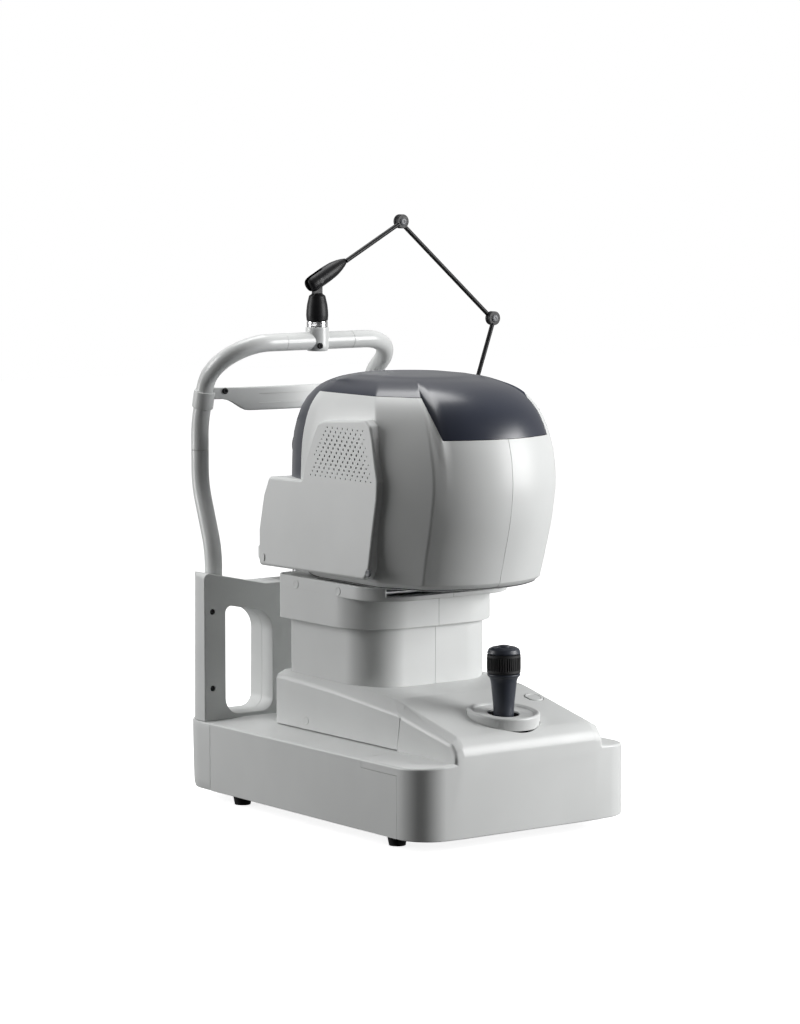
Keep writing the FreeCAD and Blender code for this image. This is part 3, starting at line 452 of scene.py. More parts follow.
def capsule(half_length, radius, centre, upright=False, steps=8):
    """A stadium outline round a centre."""
    points = []
    for side, first in ((1, -math.pi / 2), (-1, math.pi / 2)):
        for step in range(steps + 1):
            angle = first + math.pi * step / steps
            spot = (side * half_length + radius * math.cos(angle), radius * math.sin(angle))
            spot = spot[::-1] if upright else spot
            points.append((centre[0] + spot[0], centre[1] + spot[1]))
    return points


# ---------------------------------------------------------------- materials


def add_node(tree, kind, **inputs):
    """A shader node whose named inputs are linked to outputs or set to values."""
    node = tree.nodes.new("ShaderNode" + kind)
    for name, value in inputs.items():
        socket = node.inputs[name.replace("_", " ")]
        if isinstance(value, bpy.types.NodeSocket):
            tree.links.new(value, socket)
        else:
            socket.default_value = value
    return node


class Paint:
    """A Principled material whose colour, roughness and bump come from procedural nodes."""

    def __init__(self, name, **constants):
        self.material = bpy.data.materials.new(name)
        self.material.use_nodes = True
        self.tree = self.material.node_tree
        self.shader = self.tree.nodes["Principled BSDF"]
        for socket, value in constants.items():
            self.shader.inputs[socket.replace("_", " ")].default_value = value
        self.place = add_node(self.tree, "TexCoord").outputs["Object"]

    def noise(self, per_metre, detail=4.0, rough=0.55, stretch=None):
        place = self.place
        if stretch:
            scaler = self.tree.nodes.new("ShaderNodeVectorMath")
            scaler.operation = "MULTIPLY"
            scaler.inputs[1].default_value = stretch
            self.tree.links.new(place, scaler.inputs[0])
            place = scaler.outputs[0]
        return add_node(
            self.tree, "TexNoise", Scale=per_metre, Detail=detail, Roughness=rough, Vector=place
        ).outputs["Fac"]

    def ramp(self, source, low, high, start=0.35, stop=0.65):
        node = add_node(self.tree, "ValToRGB", Fac=source)
        node.color_ramp.elements[0].position = start
        node.color_ramp.elements[1].position = stop
        node.color_ramp.elements[0].color = (*low, 1.0)
        node.color_ramp.elements[1].color = (*high, 1.0)
        return node.outputs["Color"]

    def spread(self, source, low, high):
        return add_node(self.tree, "MapRange", To_Min=low, To_Max=high, Value=source).outputs["Result"]

    def colour(self, output):
        self.tree.links.new(output, self.shader.inputs["Base Color"])
        return self

    def roughness(self, output):
        self.tree.links.new(output, self.shader.inputs["Roughness"])
        return self

    def bump(self, *layers):
        """Stacks (height source, strength, distance in millimetres) layers of bump."""
        normal = None
        for height, strength, distance in layers:
            below = {"Normal": normal} if normal else {}
            normal = add_node(
                self.tree, "Bump", Strength=strength, Distance=distance * MM, Height=height, **below
            ).outputs["Normal"]
        self.tree.links.new(normal, self.shader.inputs["Normal"])
        return self


def around(colour, change):
    """Two neighbours of a colour, darker and lighter by a share."""
    return [tuple(c * (1 - change) for c in colour), tuple(c * (1 + change) for c in colour)]


def plastic(name, colour, rough, grain, grain_depth, change=0.025, **constants):
    """Moulded plastic: a spark-eroded grain, faint flow marks and slightly uneven gloss."""
    paint = Paint(name, **constants)
    cloud = paint.noise(9.0, 3.0)
    paint.colour(paint.ramp(cloud, *around(colour, change)))
    paint.roughness(paint.spread(paint.noise(35.0, 5.0), rough - 0.05, rough + 0.06))
    waviness = paint.noise(14.0, 2.0)
    paint.bump((paint.noise(grain, 3.0, 0.6), 0.35, grain_depth), (waviness, 0.12, 0.25))
    return paint.material


def metal(name, colour, rough, stretch, **constants):
    """Metal with fine marks drawn out along one direction."""
    paint = Paint(name, Metallic=1.0, **constants)
    marks = paint.noise(900.0, 4.0, 0.6, stretch)
    paint.colour(paint.ramp(paint.noise(40.0, 3.0), *around(colour, 0.05)))
    paint.roughness(paint.spread(marks, rough - 0.06, rough + 0.10))
    paint.bump((marks, 0.25, 0.01))
    return paint.material


def rubber(name, colour, rough=0.75):
    """Dull rubber with a fine, shallow grain."""
    paint = Paint(name)
    paint.colour(paint.ramp(paint.noise(60.0, 5.0), *around(colour, 0.25)))
    paint.roughness(paint.spread(paint.noise(300.0, 3.0), rough - 0.08, rough + 0.08))
    paint.bump((paint.noise(1800.0, 2.0), 0.5, 0.05))
    return paint.material


def make_materials():
    white = (0.70, 0.712, 0.705)
    slate = (0.026, 0.031, 0.049)
    looks = {
        "shell": plastic("moulded_shell", white, 0.36, 2600.0, 0.020),
        "paint": plastic("painted_tube", white, 0.30, 900.0, 0.012, Coat_Weight=0.25, Coat_Roughness=0.2),
        "slate": plastic(
            "slate_cover", slate, 0.30, 2200.0, 0.016, 0.10, Coat_Weight=0.35, Coat_Roughness=0.22
        ),
        "grip": plastic("slate_grip", (0.030, 0.035, 0.048), 0.38, 1500.0, 0.01, 0.12),
        "black": plastic(
            "black_gloss", (0.010, 0.010, 0.011), 0.42, 500.0, 0.001, 0.15, Specular_IOR_Level=0.28
        ),
        "matt_black": plastic("matt_black", (0.010, 0.010, 0.011), 0.6, 900.0, 0.03, 0.2),
        "rubber": rubber("black_rubber", (0.014, 0.014, 0.015)),
        "pad": rubber("grey_pad", (0.36, 0.37, 0.38), 0.6),
        "chrome": metal("chrome_ring", (0.80, 0.80, 0.81), 0.16, (1.0, 1.0, 12.0)),
        "steel": metal("brushed_steel", (0.56, 0.56, 0.57), 0.32, (1.0, 1.0, 0.05)),
        "casting": metal("cast_alloy", (0.50, 0.51, 0.52), 0.48, (1.0, 1.0, 1.0)),
        "device": plastic("grey_enamel", (0.16, 0.165, 0.175), 0.42, 1200.0, 0.03, 0.06),
        "board": plastic("circuit_board", (0.02, 0.12, 0.05), 0.35, 700.0, 0.05, 0.15),
        # painted shade: near-black sheets stand for the shade inside vents and the joystick's opening
        "gap_shade": plastic("painted_shade_black", (0.006, 0.006, 0.007), 0.85, 1500.0, 0.08, 0.2),
    }
    glass = Paint("coated_lens", Transmission_Weight=0.85, IOR=1.52, Coat_Weight=1.0, Coat_Roughness=0.02)
    glass.colour(glass.ramp(glass.noise(25.0, 2.0), (0.30, 0.38, 0.62), (0.42, 0.34, 0.62)))
    glass.roughness(glass.spread(glass.noise(80.0), 0.01, 0.05))
    looks["lens"] = glass.material
    return looks


LOOKS = make_materials()


def dress(item, body, look, nodes=(), angle=32):
    """Shades a piece, gives it its body and material, and hides the CAD nodes it stands for."""
    shade(item, angle)
    item.data.materials.clear()
    item.data.materials.append(LOOKS[look])
    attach(item, body)
    if nodes:
        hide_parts(*nodes)
    return item



def dress_halves(body, stem, left, right, angle=32):
    """Dresses both halves of a split cover as its left and right CAD nodes."""
    for item, side in ((left, "left"), (right, "right")):
        dress(item, body, "shell", [f"{stem}_{side}"], angle)


def dress_node(node, look, radius=0.0):
    """A new material, and softened edges, on a CAD node that stays."""
    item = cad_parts[node]
    item.data.materials.clear()
    item.data.materials.append(LOOKS[look])
    if radius:
        weld = item.modifiers.new("weld", "WELD")
        weld.merge_threshold = 0.01 * MM
        trim_edges(item, radius, 35)
        shade(item)
    return item


# ---------------------------------------------------------------- base


def skirt_points(inset_by, floor, back):
    """The base's front part: a flat middle that sweeps back to blunt tips."""
    half = BASE_HALF - inset_by
    corners = [
        (RIDGE - 0.2 * inset_by, BASE_FRONT + inset_by, 0),
        (HUMP_HALF, BASE_FRONT + SWEEP + inset_by, 0),
        (half, TIP_FRONT + inset_by, TIP_ROUND - inset_by),
        (half, back, 0),
        (HUMP_HALF, back, 0),
    ]
    points = []
    for spot in rounded(corners, 14):
        share = min((BASE_HALF - spot.x) / (BASE_HALF - HUMP_HALF), 1.0)
        top = DECK + DECK_RISE * share - inset_by
        points += [(side * spot.x, spot.y, z) for side in (-1, 1) for z in (floor, top)]
    return points


def hump_points(inset_by, floor, back=HUMP_REAR):
    """The hump under the joystick: flush front, sloping top and bevelled sides."""
    front = BASE_FRONT + inset_by
    edge, ridge = HUMP_HALF - inset_by, RIDGE - 0.7 * inset_by
    side = [
        (front + SWEEP, floor), (front + SWEEP, 98.5 - inset_by),
        (front + SWEEP + 8, 108.5 - inset_by), (back, 127.3 - inset_by), (back, floor),
    ]
    top = [
        (front, floor), (front, 103.0 - inset_by), (front + 11, 114.5 - inset_by),
        (back, 135.5 - inset_by), (back, floor),
    ]
    points = [(s * edge, y, z) for s in (-1, 1) for y, z in side]
    return points + [(s * ridge, y, z) for s in (-1, 1) for y, z in top]


def skirt_round(middle, along):
    """The skirt's edge radii: its blunt corners, its top rim and its foot."""
    if abs(along.z) > 0.9:
        return 5.0 if middle.y < -210.0 else 0.0
    if middle.z > DECK - 5 and middle.y < FRONT_SEAM - 0.5:
        return 2.5
    return 1.2 if middle.z < FOOT + 1 and middle.y < FRONT_SEAM - 1 else 0.0


def hump_round(middle, along):
    """The hump's edge radii: upright corners, front rim and side bevels."""
    if middle.y > HUMP_REAR - 1 or middle.z < 82:
        return 0.0
    if abs(along.z) > 0.9:
        return 9.0 if abs(middle.x) < RIDGE + 2 else 4.0
    if abs(along.x) > 0.9:
        return 18.0
    return 7.0


def make_front_cover():
    skirt = hull("front_cover_skin", skirt_points(0.0, FOOT, FRONT_SEAM), skirt_round)
    crown = hull("hump", hump_points(0.0, 80.0), hump_round)
    lips = []
    for side in (-1, 1):
        lip = [
            (BASE_HALF, DECK - 9), (BASE_HALF, DECK), (HUMP_HALF, DECK + DECK_RISE),
            (HUMP_HALF - 3, DECK + DECK_RISE), (HUMP_HALF - 3, DECK), (BASE_HALF - WALL, DECK - WALL),
            (BASE_HALF - WALL, DECK - 9),
        ]
        outline = rounded([(side * x, z, 2.5 if (x, z) == (BASE_HALF, DECK) else 0) for x, z in lip], 5)
        lips.append(prism("lip", outline, "XZ", FRONT_SEAM - 0.5, SHOULDER_SEAM))
    cover = merge(skirt, crown, *lips)
    cover = carve(
        cover,
        hull("skirt_hollow", skirt_points(WALL, FOOT - 5, FRONT_SEAM + 5)),
        hull("hump_hollow", hump_points(WALL, 70.0, HUMP_REAR + 5)),
        lathe("bezel_well", [(38.0, -30.0), (38.0, 30.0)], BEZEL_SPOT, BEZEL_AXIS, 72),
        lathe("button_well", [(10.3, 0.0), (10.3, 50.0)], (70, -128, 100)),
    )
    cover.name = "front_cover_skin"
    trim_edges(cover, 0.35)
    bake(cover)
    dress(cover, "base", "shell", ["front_cover"])


def make_column_block():
    """The cover round the column's foot, falling to the hump in front."""
    side = [(-111.5, 127.5), (-56.0, 132.4), (6.0, 138.2), (60.0, 141.1), (BLOCK_REAR, 142.8)]
    ridge = [(-111.5, 135.5), (-93.0, 140.0), (-30.0, 145.5), (BLOCK_REAR, 148.0)]

    def points(inset_by, floor):
        found = []
        for half, line in ((HUMP_HALF - inset_by, side), (RIDGE - 0.7 * inset_by, ridge)):
            for s in (-1, 1):
                found += [(s * half, y, z - inset_by) for y, z in line]
                found += [(s * half, line[0][0], floor), (s * half, line[-1][0] - inset_by, floor)]
        return [(x, min(y, BLOCK_REAR - inset_by), z) for x, y, z in found]

    def radius(middle, along):
        if middle.y < -110 or middle.z < 93:
            return 0.0
        return 7.0 if abs(along.y) > 0.9 else 4.0 if abs(middle.y - BLOCK_REAR) < 1 else 20.0

    cover = hull("column_foot_cover", points(0.0, DECK + DECK_RISE + 1.2), radius)
    well = both_halves(half_d(85.5, 51.5, 98.5, 45.5, 12.5, 0.0))
    cover = carve(
        cover,
        hull("hollow", points(WALL, DECK - 10)),
        prism("column_well", well, "XY", 100.0, 170.0),
    )
    trim_edges(cover, 0.35)
    bake(cover)
    dress(cover, "base", "shell", ["column_base_cover"])


def make_side_panels():
    profile = [
        (-BASE_HALF, FOOT, 1.0), (-BASE_HALF + WALL, FOOT, 0), (-BASE_HALF + WALL, DECK - WALL, 0),
        (-HUMP_HALF, DECK, 0), (-72.0, DECK, 0), (-72.0, DECK + DECK_RISE, 0),
        (-HUMP_HALF, DECK + DECK_RISE, 0), (-BASE_HALF, DECK, 2.5),
    ]
    length = prism("side_skin_left", rounded(profile, 6), "XZ", SHOULDER_SEAM + 0.4, REAR_SEAM - 0.4)
    wing = block(
        "wing", (-BASE_HALF, FRONT_SEAM + 0.4, FOOT + 0.3),
        (-BASE_HALF + WALL, SHOULDER_SEAM + 1, DECK - 9.4),
    )
    bridge = block(
        "bridge", (-73.0, BLOCK_REAR - 8, DECK), (-0.2, REAR_SEAM - 0.4, DECK + DECK_RISE - 0.02)
    )
    left = merge(length, wing, bridge)
    trim_edges(left, 0.3)
    bake(left)
    right = flipped(left, "side_skin_right")
    dress_halves("base", "side_panel", left, right)


def make_rear_cover():
    corners = [
        (-BASE_HALF, 120.0, 0), (BASE_HALF, 120.0, 0), (BASE_HALF, BASE_REAR, REAR_ROUND),
        (-BASE_HALF, BASE_REAR, REAR_ROUND),
    ]
    inner = [
        (-BASE_HALF + WALL, 110.0, 0), (BASE_HALF - WALL, 110.0, 0),
        (BASE_HALF - WALL, BASE_REAR - WALL, REAR_ROUND - WALL),
        (-BASE_HALF + WALL, BASE_REAR - WALL, REAR_ROUND - WALL),
    ]
    levels = [FOOT, 18.0, 24.0, 32.0, 42.0, 54.0, 66.0, 78.0, DECK - 2.5, DECK - 0.8, DECK]
    trims = [1.2, 0, 0, 0, 0, 0, 0, 0, 0, 0.8, 2.5]

    def barrel(outline, z):
        """An outline at a level: its rear draws in towards the table."""
        share = 1 - REAR_DRAW_IN * ((DECK - z) / (DECK - FOOT)) ** 2 / (BASE_REAR - REAR_SEAM)
        return [
            (p.x, REAR_SEAM + (p.y - REAR_SEAM) * share if p.y > REAR_SEAM else p.y, z)
            for p in outline
        ]

    outline = rounded(corners, 16)
    cover = loft(
        "rear_skin",
        [barrel(inset(outline, trim) if trim else outline, z) for z, trim in zip(levels, trims)],
    )
    inner = rounded(inner, 12)
    cutters = [
        loft("hollow", [barrel(inner, z) for z in (FOOT + 3.0, 30.0, 50.0, 70.0, DECK - WALL)]),
        prism("floor_cut", inset(inner, FLOOR_LIP), "XY", 0.0, FOOT + 5),
        block("front_cut", (-150.0, 100.0, 0.0), (150.0, REAR_SEAM + 0.4, 120.0)),
        block("inlet_hole", (30.0, 200.0, 34.0), (58.4, 240.0, 58.4)),
        block("switch_hole", (70.0, 200.0, 37.0), (92.0, 240.0, 53.0)),
    ]
    for low in (-123.1, 115.9):
        cutters.append(block("post_hole", (low, 184.0, 60.0), (low + 7.2, 204.6, 100.0)))
    cover = carve(cover, *cutters)
    for level in range(7):
        z = 30.0 + 6.0 * level
        slots = [
            prism("slot", capsule(16.0, 1.2, (x, z)), "XZ", 220.0, 240.0) for x in (-70.0, -20.0)
        ]
        cover = carve(cover, joined("slots", slots))
    trim_edges(cover, 0.4)
    bake(cover)
    dress(cover, "base", "shell", ["rear_cover"])
    # painted shade: a near-black sheet behind the slots stands for the shade inside the cover
    shade_sheet = prism(
        "vent_shade_sheet_rear", [(-92, 24), (2, 24), (2, 72), (-92, 72)], "XZ",
        BASE_REAR - 8.5, BASE_REAR - 7.5,
    )
    dress(shade_sheet, "base", "gap_shade")


def make_feet():
    profile = soften([(8.0, 0.0), (8.5, 0.0), (11.0, FOOT - 0.5), (11.0, FOOT)], 0.8)
    feet = []
    for x in (-115.0, 115.0):
        for y in (-139.0, 139.0):
            rings = [(0.0, 0.0), (6.5, 0.0), *profile[1:], (0.0, FOOT)]
            feet.append(lathe("foot", rings, (x, y, 0)))
    dress(joined("feet", feet), "base", "rubber", ["rubber_feet"])


# ---------------------------------------------------------------- column and lift


def half_d(half, front, rear, front_round, rear_round, middle=0.2):
    """The right half of a D-shaped outline: big rounds in front, small ones behind."""
    return rounded(
        [(middle, -front, 0), (half, -front, front_round), (half, rear, rear_round), (middle, rear, 0)],
        12,
    )


def both_halves(path):
    """A closed outline from a right half that starts and ends on the middle plane."""
    return list(path) + [Vector((-p.x, p.y)) for p in reversed(path) if p.x > 1e-6]


def wall_between(outer, inner):
    """The outline of the wall between two right halves."""
    return list(outer) + list(reversed(inner))


def make_column():
    outer = half_d(85.0, 51.0, 98.0, 45.0, 12.0)
    inner = half_d(82.0, 48.0, 95.0, 42.0, 9.0)
    right = slab("column_skin_right", wall_between(outer, inner), "XY", 112.0, 222.0, 0.5, 1.0, 3)
    left = flipped(right, "column_skin_left")
    dress_halves("base", "column_cover", left, right)


def make_collar():
    collar_outer = half_d(96.0, 57.0, 104.5, 56.0, 14.0)
    collar_inner = half_d(92.0, 54.0, 101.0, 53.0, 11.0)
    tray_outer = half_d(96.0, 82.0, 104.5, 50.0, 14.0)
    tray_inner = half_d(93.0, 79.0, 101.5, 47.0, 11.0)
    parts = [
        slab("collar_wall", wall_between(collar_outer, collar_inner), "XY", 205.0, 238.0, 1.2, 0.0, 3),
        slab("tray_floor", wall_between(tray_outer, collar_inner), "XY", 237.5, 240.0, 0.8, 0.0, 3),
        slab("tray_wall", wall_between(tray_outer, tray_inner), "XY", 239.5, 252.0, 0.0, 1.2, 3),
    ]
    right = merge(*parts)
    right = carve(right, block("slot", (-79.0, -120.0, 242.0), (79.0, -68.0, 260.0)))
    right.name = "collar_skin_right"
    left = flipped(right, "collar_skin_left")
    dress_halves("lift", "collar", left, right)


# ---------------------------------------------------------------- head

# Level, front, crease x and y, half width, where the facet ends, rear: all from the part's axes
HEAD_SECTIONS = [
    (253, 157, 76, 128, 98, 80, 118),
    (290, 167, 78, 138, 104, 87, 130),
    (330, 177, 79, 148, 108, 91, 138),
    (365, 180, 79, 152, 108, 93, 140),
    (408, 172, 78, 143, 105, 88, 136),
    (435, 157, 74, 128, 99, 80, 120),
    (452, 135, 66, 109, 88, 66, 98),
    (461, 110, 53, 88, 72, 50, 75),
    (465, 85, 40, 66, 55, 35, 55),
]
HEAD_TABLE = np.array(HEAD_SECTIONS, float)
STRAP_ANGLE = math.radians(13)
REAR_POWER = 1.1
STRAP_COLUMNS = 12
STRAP_FOOT = 300.0
# The dark cover's edge: its level in front, and the step up from there to the sides
CAP_FRONT_LEVEL, CAP_STEP_RISE = 408.0, 41.0
CAP_STEP_FRONT, CAP_STEP_LENGTH = -141.0, 25.0
CAP_GAP = 0.28
RIM_ROWS, SKIRT_ROWS = 6, 5
SIDE_GAP = 0.22
CROWN_RISE = 1.6
CROWN_CENTRE_Y = -14


def head_knots():
    """Where each section lies along the head's own height line."""
    steps = np.hypot(np.diff(HEAD_TABLE[:, 0]), np.diff(HEAD_TABLE[:, 1]))
    return np.concatenate([[0.0], np.cumsum(steps)])


KNOTS = head_knots()


def head_section(s):
    """The seven section numbers at any distance along the height line, on a smooth curve."""
    i = int(np.clip(np.searchsorted(KNOTS, s) - 1, 0, len(KNOTS) - 2))
    span_length = KNOTS[i + 1] - KNOTS[i]
    k = (s - KNOTS[i]) / span_length

    def slope(j):
        if j == 0 or j == len(KNOTS) - 1:
            a, b = (0, 1) if j == 0 else (j - 1, j)
            return (HEAD_TABLE[b] - HEAD_TABLE[a]) / (KNOTS[b] - KNOTS[a])
        left = (HEAD_TABLE[j] - HEAD_TABLE[j - 1]) / (KNOTS[j] - KNOTS[j - 1])
        right = (HEAD_TABLE[j + 1] - HEAD_TABLE[j]) / (KNOTS[j + 1] - KNOTS[j])
        share = (KNOTS[j + 1] - KNOTS[j]) / (KNOTS[j + 1] - KNOTS[j - 1])
        return left * share + right * (1 - share)

    a, b = HEAD_TABLE[i], HEAD_TABLE[i + 1]
    p, q = slope(i) * span_length, slope(i + 1) * span_length
    h00, h10 = 2 * k**3 - 3 * k**2 + 1, k**3 - 2 * k**2 + k
    h01, h11 = -2 * k**3 + 3 * k**2, k**3 - k**2
    return h00 * a + h10 * p + h01 * b + h11 * q


def head_plan(s, shrink=0.0):
    """The right half of the head's outline at s, from the front's middle to the rear's."""
    z, front, crease_x, crease_y, half, facet_end, rear = head_section(s)
    bow = front - crease_y
    radius = (crease_x**2 + bow**2) / (2 * bow)
    sweep = math.asin(crease_x / radius)
    corners = []
    for step in range(10):
        angle = sweep * step / 10 * 0.93
        corners.append((radius * math.sin(angle), -front + radius * (1 - math.cos(angle)), 0))
    corners.append((crease_x, -crease_y, 9.0))
    for k in np.linspace(0.18, 0.82, 9):
        corners.append((crease_x + (half - crease_x) * k, -crease_y + (crease_y - facet_end) * k, 0))
    corners.append((half, -facet_end, 12.0))
    start = 20.0 * rear / 140.0
    for k in np.linspace(0.15, 1.0, 6):
        corners.append((half, -facet_end + (facet_end + start) * k, 0))
    to_strap = [*np.linspace(0, STRAP_ANGLE - 0.004, 5)[1:], STRAP_ANGLE]
    for angle in [*to_strap, *np.linspace(STRAP_ANGLE, math.pi / 2, STRAP_COLUMNS)[1:]]:
        x = half * max(math.cos(angle), 0.0) ** REAR_POWER
        corners.append((x, start + (rear - start) * math.sin(angle) ** REAR_POWER, 0))
    path = rounded(corners, 4)
    path[0].x = path[-1].x = 0.0
    if shrink:
        closed = list(path) + [Vector((-p.x, p.y)) for p in reversed(path[1:-1])]
        path = inset(closed, shrink)[: len(path)]
        path[0].x = path[-1].x = 0.0
    return [Vector((p.x, p.y, z)) for p in path]


PLAN_COUNT = len(head_plan(0.0))
STRAP_COLUMN = PLAN_COUNT - STRAP_COLUMNS
HEAD_END = KNOTS[-1]


def s_at_level(level):
    """How far up the height line a level lies."""
    low, high = 0.0, HEAD_END
    for _ in range(40):
        middle = (low + high) / 2
        low, high = (middle, high) if head_section(middle)[0] < level else (low, middle)
    return low


def cap_edges():
    """For each column of the outline, how far up the side the dark cover's edge lies."""
    low = np.zeros(PLAN_COUNT)
    high = np.full(PLAN_COUNT, HEAD_END)
    for _ in range(34):
        middle = (low + high) / 2
        for i, s in enumerate(middle):
            spot = head_plan(s)[i]
            k = min(max((spot.y - CAP_STEP_FRONT) / CAP_STEP_LENGTH, 0.0), 1.0)
            edge = CAP_FRONT_LEVEL + CAP_STEP_RISE * k * k * (3 - 2 * k)
            if spot.z < edge:
                low[i] = s
            else:
                high[i] = s
    return low


CAP_EDGE = cap_edges()


def head_grid(columns, rows):
    """Points of the right half: a list per row, from rows of (s of each column, shrink)."""
    return [[head_plan(levels[i], shrink)[i] for i in columns] for levels, shrink in rows]


def skin_from(name, grids):
    """One open mesh from point grids, with doubles welded."""
    points, faces = [], []
    for grid in grids:
        first, width = len(points), len(grid[0])
        for line in grid:
            points += line
        for row in range(len(grid) - 1):
            for i in range(width - 1):
                a, b = first + row * width + i, first + (row + 1) * width + i
                faces.append((a, a + 1, b + 1, b))
    return tidy_normals(piece_from(name, points, faces))


def mirror_grid(grid):
    """The same grid on the left, its columns reversed so that its faces still point outwards."""
    return [[Vector((-p.x, p.y, p.z)) for p in reversed(line)] for line in grid]


def side_rows(top_gap):
    """Rows of a side cover: a rounded lower rim, then up to the dark cover's edge."""
    foot = s_at_level(260.0)
    rows = []
    for step in range(RIM_ROWS):
        angle = math.pi / 2 * step / RIM_ROWS
        rows.append((np.full(PLAN_COUNT, foot * math.sin(angle)), 7.0 * (1 - math.sin(angle)) ** 1.5))
    strap = s_at_level(STRAP_FOOT)
    for k in np.linspace(0, 1, SKIRT_ROWS):
        rows.append((np.full(PLAN_COUNT, foot + (strap - foot) * k), 0.0))
    top = CAP_EDGE - top_gap
    for k in np.linspace(0, 1, 21)[1:]:
        rows.append((strap + (top - strap) * k, 0.0))
    return rows


def make_head():
    rows = side_rows(CAP_GAP)
    strap_row = RIM_ROWS + SKIRT_ROWS
    full = head_grid(range(STRAP_COLUMN), rows)
    for line in full:
        line[0].x = SIDE_GAP
    rear = head_grid(range(STRAP_COLUMN - 1, PLAN_COUNT), rows[:strap_row])
    for line in rear:
        line[-1].x = SIDE_GAP
    right = skin_from("head_skin_right", [full, rear])
    thicken(right)
    trim_edges(right, 0.35)
    bake(right)
    left = flipped(right, "head_skin_left")
    dress_halves("head", "head_cover", left, right)

    cap_rows = [
        (CAP_EDGE + CAP_GAP + (HEAD_END - CAP_EDGE - CAP_GAP) * k, 0.0) for k in np.linspace(0, 1, 25)
    ]
    grid = head_grid(range(PLAN_COUNT), cap_rows)
    crown = grid[-1]
    for share in (0.96, 0.92, 0.87, 0.81, 0.73, 0.62, 0.48, 0.32, 0.16, 0.0):
        rise = CROWN_RISE * (1 - share**8)
        grid.append([
            Vector((p.x * share, CROWN_CENTRE_Y + (p.y - CROWN_CENTRE_Y) * share, p.z + rise))
            for p in crown
        ])
    strap_low = s_at_level(STRAP_FOOT + 0.3)
    strap_rows = [
        (strap_low + (CAP_EDGE + CAP_GAP - strap_low) * k, -0.25 if k < 1 else 0.0)
        for k in np.linspace(0, 1, 12)
    ]
    strap = head_grid(range(STRAP_COLUMN, PLAN_COUNT), strap_rows)
    cap = skin_from("head_top_skin", [grid, mirror_grid(grid), strap, mirror_grid(strap)])
    thicken(cap)
    trim_edges(cap, 0.45)
    bake(cap)
    dress(cap, "head", "slate", ["head_top_cover"], angle=40)

    # painted shade: the plate under the head is matt black so that the slot below it reads dark
    plan = head_plan(1.0, 4.0)
    outline = [Vector((p.x, p.y)) for p in plan] + [Vector((-p.x, p.y)) for p in reversed(plan[1:-1])]
    floor = prism("head_floor", outline, "XY", 254.2, 256.6)
    floor = carve(floor, block("slide_hole", (-24.0, -50.0, 240.0), (24.0, 96.0, 270.0)))
    dress(floor, "head", "matt_black")


RIGHT_SHELL_INSET = 2.5


def make_side_shells():
    upper = [
        (-86.1, 276.4, 0), (-93.7, 316.9, 0), (-99.9, 346.9, 0), (-101.0, 364.2, 8),
        (-96.1, 387.2, 10), (-92.2, 407.6, 8), (-88.2, 420.5, 6), (-80.0, 426.7, 5),
        (-6.4, 421.3, 8), (3.5, 417.9, 6), (10.1, 407.8, 6), (18.2, 393.0, 0), (27.3, 374.4, 0),
        (32.0, 357.0, 3),
    ]
    lower = [
        (92.5, 356.3, 6), (102.6, 336.1, 10), (111.5, 298.8, 10), (111.7, 260.7, 5),
        (-78.2, 263.2, 8),
    ]
    outline = rounded(upper + lower, 5)
    plate = slab("plate", outline, "YZ", -112.0, -96.0, 3.0, 0.0, 4)
    body_outline = rounded(
        [(-77.0, 263.5, 8), (111.4, 261.0, 5), (111.2, 298.8, 10), (102.3, 336.1, 10),
         (92.3, 356.0, 6), (-77.0, 356.0, 2)], 5,
    )
    body = prism("case", body_outline, "YZ", -97.0, -66.0)
    shell = merge(plate, body)
    case_hollow = rounded(
        [(-74.0, 266.5, 5), (108.4, 264.0, 3), (99.5, 336.1, 8), (90.0, 353.0, 4), (-74.0, 353.0, 2)], 4
    )
    lobe_hollow = [
        (-86.0, 357.5), (24.0, 357.5), (12.0, 395.0), (3.0, 410.0), (-6.0, 416.5), (-80.0, 421.5),
    ]
    shell = carve(
        shell,
        prism("case_hollow", case_hollow, "YZ", -109.0, -60.0),
        prism("lobe_hollow", lobe_hollow, "YZ", -109.0, -90.0),
    )
    shell = carve(shell, vent_holes())
    shell.name = "side_shell_skin_left"
    right = flipped(shell, "side_shell_skin_right")
    # painted shade: near-black sheets behind the vent holes stand for the shade inside the head
    shade_sheet = prism("vent_shade_sheet_left", inset(lobe_hollow, 0.3), "YZ", -109.0, -107.8)
    shade_sheet_right = flipped(shade_sheet, "vent_shade_sheet_right")
    for item in (right, shade_sheet_right):
        for vert in item.data.vertices:
            vert.co.x -= RIGHT_SHELL_INSET * MM
    dress_halves("head", "side_shell", shell, right, 30)
    for item in (shade_sheet, shade_sheet_right):
        dress(item, "head", "gap_shade")

    caps = []
    for side in (-1, 1):
        cap = slab("cap", capsule(1.6, 2.6, (102.0, 269.8), upright=True), "YZ", 0.0, 1.4, 0.0, 0.5)
        cap.location.x = side * 111.6 * MM - (1.4 * MM if side < 0 else 0)
        bpy.context.view_layer.update()
        cap.data.transform(cap.matrix_world)
        cap.location.x = 0
        caps.append(cap)
    caps[1].data.transform(Matrix.Translation((-RIGHT_SHELL_INSET * MM, 0, 0)))
    dress(joined("shell_caps", caps), "head", "shell")
    head = soften([(0, 0), (3.9, 0), (4.1, 2.0), (3.0, 2.6), (0, 2.2)], 0.5)
    screw = lathe("shell_screw", head, (-110.5, -85.0, 270.7), (-1, 0, 0), 24)
    dress(screw, "head", "device")


VENT_ROWS, VENT_ROW_STEP, VENT_STEP = 13, 4.25, 8.8


